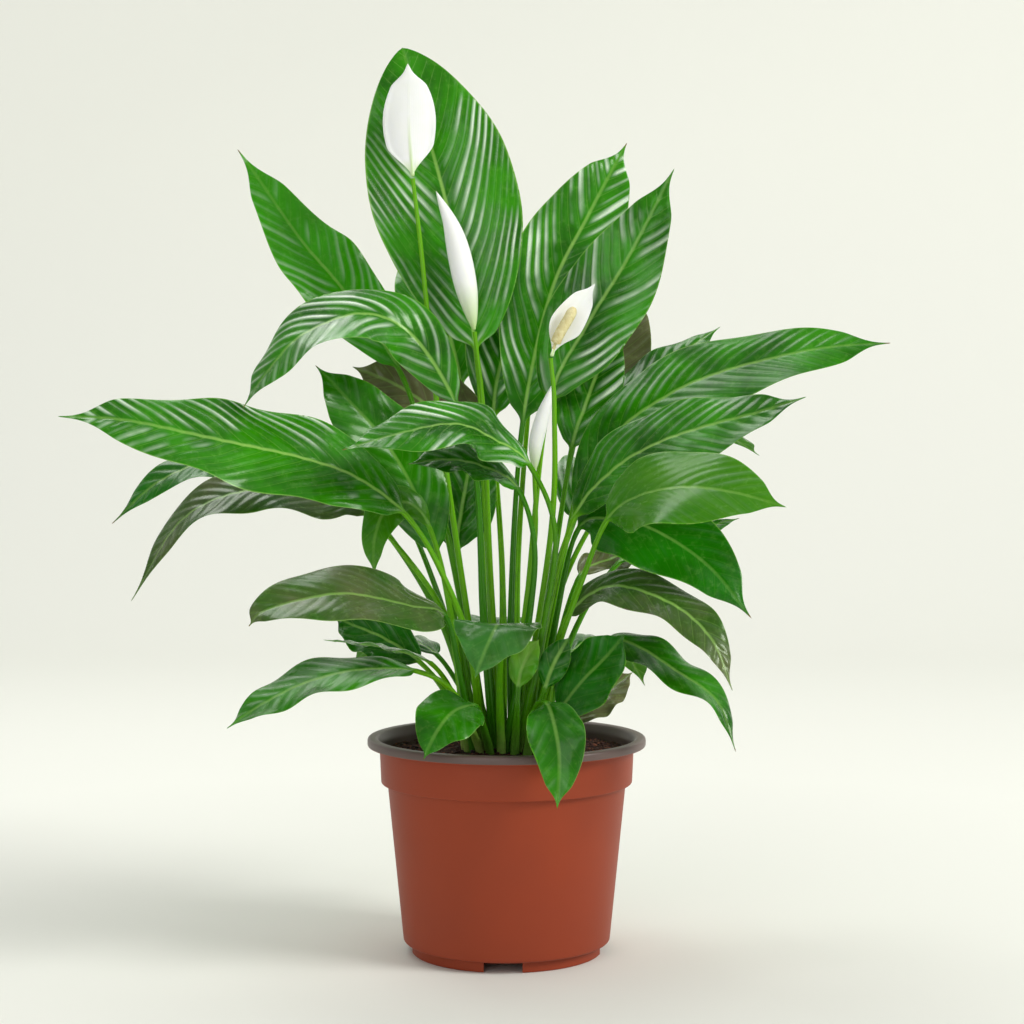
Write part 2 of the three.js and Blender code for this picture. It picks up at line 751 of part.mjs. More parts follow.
const FLOWERS = {
  // tall, seen from behind its spathe
  flower_tall: {
    root: [204, 2],
    stalkPoints: [[-45, -12, 190], [-63, -4, 320], [-74, 0, 430], [-82, 0, 500]],
    spathePoints: [[-3, 2, 40], [-3, 0, 70], [-4, -4, 99]],
    spadixPoints: [[0, 4.5, 4], [-1, 11, 20], [-2, 16, 44], [-3, 19, 66]],
    width: 46,
    face: [0, 1, 0.1],
    fold: 32,
  },
  // a fat bud, still rolled up round its spadix
  flower_bud_thick: {
    root: [243, 1],
    stalkPoints: [[-14, -12, 150], [-20, -8, 290], [-28, -6, 366]],
    spathePoints: [[-8, 2, 44], [-18, 6, 86], [-34, 10, 124]],
    width: 21,
    face: [0, -1, 0.1],
    rolled: true,
  },
  // small and open, low on the right
  flower_small: {
    root: [300, 2],
    stalkPoints: [[38, -34, 190], [41, -38, 296], [38, -36, 342]],
    spathePoints: [[8, 0, 22], [22, 0, 43], [38, 0, 64]],
    spadixPoints: [[2, -5, 8], [7, -9, 20], [14, -10, 32], [20, -10, 43]],
    width: 30,
    face: [0.2, -1, -0.1],
    fold: 34,
  },
  // a slender bud among the petioles
  flower_bud_slender: {
    root: [301, 1],
    stalkPoints: [[16, -10, 120], [25, -14, 190], [24, -14, 242]],
    spathePoints: [[2, 0, 28], [10, 0, 58], [18, 0, 82]],
    width: 13,
    face: [0, -1, 0.1],
    rolled: true,
  },
};

// ---- the whole ---------------------------------------------------------------------------

const plant = new THREE.Group();

function add(name, geometry, finish) {
  const mesh = new THREE.Mesh(geometry, finish);
  mesh.name = name;
  plant.add(mesh);
}

add("nursery_pot", pot(), material(0x9a4a2e, 0.5));
add("potting_soil", soil(), material(0x2a1512, 0.95));
for (const [name, leafSizes] of Object.entries(LEAVES)) {
  add(name, leaf(leafSizes), material(0x2a7d16, 0.3));
}
for (const [name, flower] of Object.entries(FLOWERS)) {
  add(name + "_stalk", stalk(flower), material(0x6fae2f, 0.5));
  add(name + "_spathe", spathe(flower), material(0xf6f6ee, 0.5));
  if (flower.spadixPoints) add(name + "_spadix", spadix(flower), material(0xe9e2bf, 0.8));
}

export default plant;
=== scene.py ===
"""A potted peace lily: glossy leaves, white flowers, potting soil and a two-colour nursery pot."""

import functools
import math
import random

import bmesh
import bpy
from mathutils import Matrix, Vector, noise


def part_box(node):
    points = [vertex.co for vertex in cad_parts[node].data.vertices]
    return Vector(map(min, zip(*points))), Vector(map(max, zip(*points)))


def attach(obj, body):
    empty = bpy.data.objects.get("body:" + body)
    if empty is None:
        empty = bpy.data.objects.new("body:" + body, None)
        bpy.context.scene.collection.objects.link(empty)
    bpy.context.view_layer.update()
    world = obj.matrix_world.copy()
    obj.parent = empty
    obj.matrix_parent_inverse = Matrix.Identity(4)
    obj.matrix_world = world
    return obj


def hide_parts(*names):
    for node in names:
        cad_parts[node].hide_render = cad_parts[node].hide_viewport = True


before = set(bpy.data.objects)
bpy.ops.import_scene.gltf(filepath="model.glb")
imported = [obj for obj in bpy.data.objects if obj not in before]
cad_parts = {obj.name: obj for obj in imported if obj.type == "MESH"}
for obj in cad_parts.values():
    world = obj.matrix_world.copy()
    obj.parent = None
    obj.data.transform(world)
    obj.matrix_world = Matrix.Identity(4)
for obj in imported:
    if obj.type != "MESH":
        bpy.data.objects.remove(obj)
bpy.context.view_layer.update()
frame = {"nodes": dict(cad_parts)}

bl_info = {
    "name": "Potted Peace Lily",
    "version": (1, 0, 0),
    "blender": (4, 5, 0),
    "location": "View3D > Sidebar > Peace Lily",
    "description": "Models a potted peace lily round its packed frame",
    "category": "Object",
}

MM = 0.001
BODY = "root"

pot_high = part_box("nursery_pot")[1]
soil_low, soil_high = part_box("potting_soil")

# Sizes shared by the pieces, in metres. The pot's and the soil's come from the frame.
POT_HEIGHT = pot_high.z
RIM_RADIUS = pot_high.x
SOIL_LEVEL = soil_high.z
SOIL_RADIUS = soil_high.x
ROOT_PITCH = 9 * MM  # from one ring of petioles in the crown to the next


# ---- sizes and colours that a user would change --------------------------------------------


def length(name, description, millimetres):
    """A length property whose default is given in millimetres."""
    return bpy.props.FloatProperty(
        name=name, description=description, default=millimetres * MM, unit="LENGTH"
    )


def colour(name, description, code):
    """A colour property whose default is given as an sRGB hex value."""
    return bpy.props.FloatVectorProperty(
        name=name, description=description, default=linear(code)[:3], size=3, subtype="COLOR"
    )


def linear(code):
    """The linear RGBA of an sRGB hex value such as #2F8A1A."""
    channels = (int(code[i : i + 2], 16) / 255 for i in (1, 3, 5))
    return tuple(c / 12.92 if c < 0.04045 else ((c + 0.055) / 1.055) ** 2.4 for c in channels) + (1.0,)


class LeafSettings(bpy.types.PropertyGroup):
    """Sizes and colours of the leaves."""

    thickness: length("Blade thickness", "Thickness of a blade beside its midrib", 0.9)
    midrib: length("Midrib", "How far the midrib stands out of the underside", 1.3)
    petiole_root: length("Petiole at the soil", "Radius of a petiole at the soil", 3.5)
    petiole_neck: length("Petiole at the blade", "Radius of a petiole at the blade", 2.0)
    vein_spacing: length("Vein spacing", "Distance between side veins along the midrib", 17)
    quilting: length("Quilting", "How far a blade swells between two side veins", 1.3)
    margin_wave: length("Margin wave", "How far a blade's margin waves up and down", 3.2)
    bright: colour("Bright green", "Upper side of the leaves in full light", "#318A00")
    deep: colour("Deep green", "Upper side of the older leaves", "#175800")
    pale: colour("Underside green", "Underside of a green leaf", "#4A8E1C")
    # Olive is painted shade: the dull, dark green of leaf undersides seen in shade.
    olive: colour("Olive", "Underside of an old leaf", "#5A5C3C")
    vein: colour("Vein green", "Midribs and side veins", "#A5D46A")
    petiole: colour("Petiole green", "Petioles", "#72B80F")


class FlowerSettings(bpy.types.PropertyGroup):
    """Sizes and colours of the flowers."""

    stalk_root: length("Stalk at the soil", "Radius of a flower stalk at the soil", 3.0)
    stalk_top: length("Stalk at the flower", "Radius of a flower stalk at the flower", 1.7)
    spathe_thickness: length("Spathe thickness", "Thickness of a spathe", 0.9)
    spadix_radius: length("Spadix radius", "Radius of a spadix", 4.5)
    white: colour("Spathe white", "Spathe", "#FDFEFB")
    green: colour("Spathe green", "Midrib and foot of a spathe", "#B5D67A")
    cream: colour("Spadix cream", "Spadix", "#EFE6B4")


class PotSettings(bpy.types.PropertyGroup):
    """Sizes and colours of the nursery pot and its soil."""

    wall: length("Wall", "Thickness of the pot's wall", 1.8)
    crumbs: bpy.props.IntProperty(
        name="Crumbs", description="Bark and peat crumbs on the soil", default=1500, min=0
    )
    outside: colour("Outside", "Terracotta-coloured outside of the pot", "#963C1E")
    inside: colour("Inside", "Dark inside and lip of the pot", "#66534D")
    soil: colour("Soil", "Moist potting soil", "#3C2116")


class StageSettings(bpy.types.PropertyGroup):
    """The floor, the light and the camera."""

    backdrop: colour("Backdrop", "Pale floor and backdrop", "#E8E9E1")
    distance: length("Camera distance", "From the camera to the pot's axis", 1863)
    eye_height: length("Camera height", "Height of the camera", 456)
    aim_height: length("Aim height", "Height on the pot's axis that the camera looks at", 387.5)
    lens: bpy.props.FloatProperty(
        name="Lens", description="Focal length on a 36 mm sensor", default=74.6, subtype="NONE"
    )


# ---- helpers -------------------------------------------------------------------------------

# The kinds of node that the materials use most.
MATH = "ShaderNodeMath"
RANGE = "ShaderNodeMapRange"
MIX = "ShaderNodeMix"
NOISE = "ShaderNodeTexNoise"
BUMP = "ShaderNodeBump"
SPLIT = "ShaderNodeSeparateXYZ"
VALUES = "ShaderNodeAttribute"
PRINCIPLED = "ShaderNodeBsdfPrincipled"
OUTPUT = "ShaderNodeOutputMaterial"


def mix(a, b, amount):
    """a at 0 and b at 1."""
    return a + (b - a) * amount


def smooth(low, high, value):
    """0 below low, 1 above high, and a smooth step between."""
    amount = min(max((value - low) / (high - low), 0.0), 1.0)
    return amount * amount * (3 - 2 * amount)


def add_node(tree, kind, inputs=None, **settings):
    """Adds a node to a tree, sets or links its inputs, and returns its outputs."""
    made = tree.nodes.new(kind)
    for key, value in settings.items():
        setattr(made, key, value)
    for key, value in (inputs or {}).items():
        if isinstance(value, bpy.types.NodeSocket):
            tree.links.new(value, made.inputs[key])
        else:
            made.inputs[key].default_value = value
    return made.outputs


def new_material(name):
    """An empty node material, and the function that adds a node to it."""
    material = bpy.data.materials.new(name)
    material.use_nodes = True
    material.node_tree.nodes.clear()
    return material, functools.partial(add_node, material.node_tree)


def rgba(rgb):
    """A colour property as a node's colour."""
    return (*rgb, 1.0)


def finish_piece(name, mesh_data, materials, replaced=(), smooth_below=40):
    """Turns a finished bmesh into a piece that rides on the plant's body."""
    mesh = bpy.data.meshes.new(name)
    mesh_data.to_mesh(mesh)
    mesh_data.free()
    for material in materials:
        mesh.materials.append(material)
    mesh.shade_smooth()
    mesh.set_sharp_from_angle(angle=math.radians(smooth_below))
    piece = bpy.data.objects.new(name, mesh)
    bpy.context.scene.collection.objects.link(piece)
    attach(piece, BODY)
    if replaced:
        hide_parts(*replaced)
    return piece


class Spine:
    """A smooth curve through points, as in the frame: a uniform Catmull-Rom spline."""

    def __init__(self, points):
        self.points = points
        before = points[0] * 2 - points[1]
        after = points[-1] * 2 - points[-2]
        padded = [before, *points, after]
        self.slopes = [(padded[i + 2] - padded[i]) / 2 for i in range(len(points))]

    def _span(self, share):
        spans = len(self.points) - 1
        at = min(max(share, 0.0), 1.0) * spans
        index = min(int(at), spans - 1)
        return index, at - index

    def point(self, share):
        i, t = self._span(share)
        a, b = self.points[i], self.points[i + 1]
        u, v = self.slopes[i], self.slopes[i + 1]
        rise = t * t * (3 - 2 * t)
        return a * (1 - rise) + b * rise + u * (t * (1 - t) ** 2) - v * (t * t * (1 - t))

    def tangent(self, share):
        i, t = self._span(share)
        a, b = self.points[i], self.points[i + 1]
        u, v = self.slopes[i], self.slopes[i + 1]
        rate = 6 * t * (1 - t)
        slope = (b - a) * rate + u * (1 - t) * (1 - 3 * t) + v * t * (3 * t - 2)
        return slope.normalized()

    def length(self, start, end, steps=48):
        stops = [self.point(mix(start, end, i / steps)) for i in range(steps + 1)]
        return sum((b - a).length for a, b in zip(stops, stops[1:]))


def frame_at(spine, share, face):
    """The point, the sideways direction and the facing direction at a share of a spine."""
    tangent = spine.tangent(share)
    facing = (face - tangent * face.dot(tangent)).normalized()
    return spine.point(share), tangent.cross(facing), facing


def rolled_skin(around, rings, place, layers=()):
    """A closed skin: a grid rolled up round a spine, its seam and its ends merged.

    place(ring, turn) gives a point and the values of the named attribute layers there.
    """
    skin = bmesh.new()
    bmesh.ops.create_grid(skin, x_segments=around, y_segments=rings, size=0.5)
    kept = [skin.verts.layers.float_vector.new(name) for name in layers]
    for vert in skin.verts:
        ring = round((vert.co.y + 0.5) * rings)
        vert.co, *values = place(ring, vert.co.x + 0.5)
        for layer, value in zip(kept, values):
            vert[layer] = value
    bmesh.ops.remove_doubles(skin, verts=skin.verts, dist=1e-6)
    bmesh.ops.recalc_face_normals(skin, faces=skin.faces)
    return skin


# ---- where things stand in the crown -------------------------------------------------------


def on_plant(point):
    """A point measured in millimetres from the middle of the soil's surface."""
    x, y, z = point
    return Vector((x * MM, y * MM, SOIL_LEVEL + z * MM))


def past_rim(point):
    """A point by its direction in degrees, and its millimetres out from and above the lip."""
    direction, out, up = point
    angle = math.radians(direction)
    reach = RIM_RADIUS + out * MM
    return Vector((reach * math.cos(angle), reach * math.sin(angle), POT_HEIGHT + up * MM))


def root_point(root):
    """Where a petiole or a stalk leaves the soil, by its direction in degrees and its ring."""
    direction, ring = root
    angle = math.radians(direction)
    reach = ring * ROOT_PITCH
    return Vector((reach * math.cos(angle), reach * math.sin(angle), SOIL_LEVEL))


def blade_outline(along, taper):
    """The outline of a blade from its neck to its tip, 1 where it is widest."""
    rise = 0.72
    widest = rise / (rise + taper)
    peak = widest**rise * (1 - widest) ** taper
    return max(along, 0) ** rise * max(1 - along, 0) ** taper / peak


def section_of(turn):
    """A turn round a flat section: -1 to 1 across it, the side (1 above) and its round angle."""
    side = 1 if turn <= 0.5 else -1
    across = 1 - 4 * turn if turn <= 0.5 else 4 * turn - 3
    return across, side, 2 * math.pi * turn


# ---- leaves --------------------------------------------------------------------------------

ROOT_DEPTH = 4 * MM  # how far a petiole or a stalk reaches into the soil
RING_PITCH = 1.9 * MM  # from one ring of a blade's skin to the next
PETIOLE_PITCH = 7 * MM  # and of a petiole's
VEIN_SLOPE = 1.15  # how far a side vein runs towards the tip for each step out
VEIN_CURVE = 15.0  # and how much more of it for each metre out
FOLD = 7  # degrees that each half of a blade is folded up
DRIP = 0.7  # how far a blade's tip is drawn out into a thin point
TAPER = 0.98  # how a blade narrows: less rounds its tip off, more points it
MIDRIB_WIDTH = 1.7 * MM
MIDRIB_GROOVE = 0.45 * MM  # how deep the midrib lies in the upper side
GROOVE = 0.28  # depth of a petiole's groove, in shares of its radius
VEIN_WANDER = 0.22  # how far side veins stray, in shares of their spacing
# What the points of a leaf's or a stalk's skin carry for its material.
LEAF_LAYERS = ("leaf_place", "leaf_share", "leaf_vein")


class LeafShape:
    """The spine, the rings and the sections of one leaf's skin."""

    def __init__(self, name, leaf, settings):
        self.settings = settings
        chance = random.Random(name)
        place = past_rim if leaf.get("rim") else on_plant
        petiole = [on_plant(point) for point in leaf["petiole"]]
        blade = [place(point) for point in leaf["blade"]]
        self.spine = Spine([root_point(leaf["root"]), *petiole, *blade])
        self.neck = (len(petiole) + 1) / (len(self.spine.points) - 1)
        self.half_width = leaf["width"] * MM / 2
        self.fold = math.radians(leaf.get("fold", FOLD))
        self.face = Vector(leaf["face"])
        self.tip_face = Vector(leaf.get("tip_face", leaf["face"]))
        self.drip = leaf.get("drip", DRIP)
        self.taper = leaf.get("taper", TAPER)
        self.veining = leaf.get("veining", 1)
        self.waves = chance.uniform(2.2, 3.4)
        self.wave_starts = chance.random(), chance.random()
        self.drift = Vector([chance.uniform(0, 50) for _ in range(3)])
        self.seed = chance.random()
        self._set_rings()

    def _set_rings(self):
        """Rings from the root to the tip, each with its frame and its distance from the neck."""
        petiole = round(self.spine.length(0, self.neck) / PETIOLE_PITCH)
        blade = round(self.spine.length(self.neck, 1) / RING_PITCH)
        stops = [self.neck * i / petiole for i in range(petiole)]
        stops += [mix(self.neck, 1, (i / blade) ** 1.1) for i in range(blade + 1)]
        self.shares = [(stop - self.neck) / (1 - self.neck) for stop in stops]
        self.frames = [None] * len(stops)
        for i in range(petiole, len(stops)):
            looks = self.face.lerp(self.tip_face, self.shares[i])
            self.frames[i] = frame_at(self.spine, stops[i], looks)
        for i in reversed(range(petiole)):
            self.frames[i] = frame_at(self.spine, stops[i], self.frames[i + 1][2])
        points = [frame[0] for frame in self.frames]
        steps = [0] + [(b - a).length for a, b in zip(points, points[1:])]
        total = 0
        self.along = [total := total + step for step in steps]
        to_neck = self.along[petiole]
        self.along = [distance - to_neck for distance in self.along]
        self.rings = len(stops)

    def petiole_radius(self, ring):
        """A sheathed petiole: wide in its lower half, and a little thicker under the blade."""
        low = min(max(1 + self.shares[ring] * (1 - self.neck) / self.neck, 0), 1)
        radius = mix(self.settings.petiole_root, self.settings.petiole_neck, low)
        return radius * (1 + 0.16 * (1 - smooth(0.3, 0.5, low)) + 0.18 * smooth(0.9, 0.96, low))

    def veins(self, ring, away):
        """How many side veins have passed, counted from the neck, at a distance out."""
        back = away * VEIN_SLOPE + away * away * VEIN_CURVE
        wander = noise.noise(self.drift + Vector((self.along[ring] * 30, away * 30, 0)))
        return (self.along[ring] - back) / self.settings.vein_spacing + VEIN_WANDER * wander

    def place(self, ring, turn):
        """The place and the attributes of a point of the skin.

        The skin's first ring closes the root, so ring 1 lies on the first frame.
        """
        in_soil = ring <= 1
        closed = ring == 0 or ring == self.rings
        ring = max(ring - 1, 0)
        point, sideways, facing = self.frames[ring]
        across, side, angle = section_of(turn)
        share = max(self.shares[ring], 0)
        blade = smooth(0, 0.045, self.shares[ring])
        radius = self.petiole_radius(ring)
        round_x = radius * math.cos(angle)
        groove = GROOVE * radius * math.exp(-((angle - math.pi / 2) ** 2) / 0.12)
        round_z = radius * math.sin(angle) * 0.92 - groove
        drip = 1 - self.drip * smooth(0.84, 0.975, share)
        width = max(self.half_width * blade_outline(share, self.taper) * drip, 0.5 * MM)
        away = abs(across) * width
        flat_z, veins = self._blade_height(ring, share, across, side, width)
        x = mix(round_x, across * width * math.cos(self.fold), blade)
        z = mix(round_z, flat_z, blade)
        if closed:
            x = z = 0
        place = point + sideways * x + facing * z
        if in_soil:
            place.z = SOIL_LEVEL - ROOT_DEPTH
        return (
            place,
            Vector((away, self.along[ring], side)),
            Vector((abs(across), share, 1 - blade)),
            Vector((veins, self.seed, self.veining)),
        )

    def _blade_height(self, ring, share, across, side, width):
        """How far a point of the blade stands over its midrib's line, and its vein count."""
        settings = self.settings
        out = abs(across)
        away = out * width
        fold = self.fold * min(1, share * 8)
        rise = width * (math.sin(fold) * (math.sqrt(out * out + 0.004) - 0.063) - 0.09 * out * out)
        start = self.wave_starts[0 if across < 0 else 1]
        swing = math.sin(2 * math.pi * (self.waves * share + start))
        amount = settings.margin_wave * min(1, width / (22 * MM)) * math.sin(math.pi * share) ** 0.6
        wave = amount * swing * out**2.6
        veins = self.veins(ring, away)
        ends = smooth(0.02, 0.12, share) * (1 - smooth(0.86, 1, share))
        swell = abs(math.sin(math.pi * veins)) ** 0.75
        body = smooth(0, 2.5 * MM, away) * (1 - out**5)
        quilt = settings.quilting * self.veining * (swell - 0.5) * ends * body
        soft = 1.6 * MM * noise.noise(self.drift + Vector((self.along[ring] * 14, across * 1.3, 0)))
        thin = settings.thickness * math.sqrt(max(1 - out**8, 0)) * mix(1, 0.55, share) / 2
        rib = math.exp(-((away / MIDRIB_WIDTH) ** 2)) * (1 - share) ** 0.8
        if side > 0:
            return rise + wave + quilt + soft * ends + thin - MIDRIB_GROOVE * rib, veins
        return rise + wave + quilt + soft * ends - thin - settings.midrib * rib, veins


def leaf_skin(name, leaf, settings):
    """One leaf, blade and petiole, as a single closed skin."""
    shape = LeafShape(name, leaf, settings)
    around = 4 * max(8, round(leaf["width"] / 4.6))
    return rolled_skin(around, shape.rings, shape.place, LEAF_LAYERS)
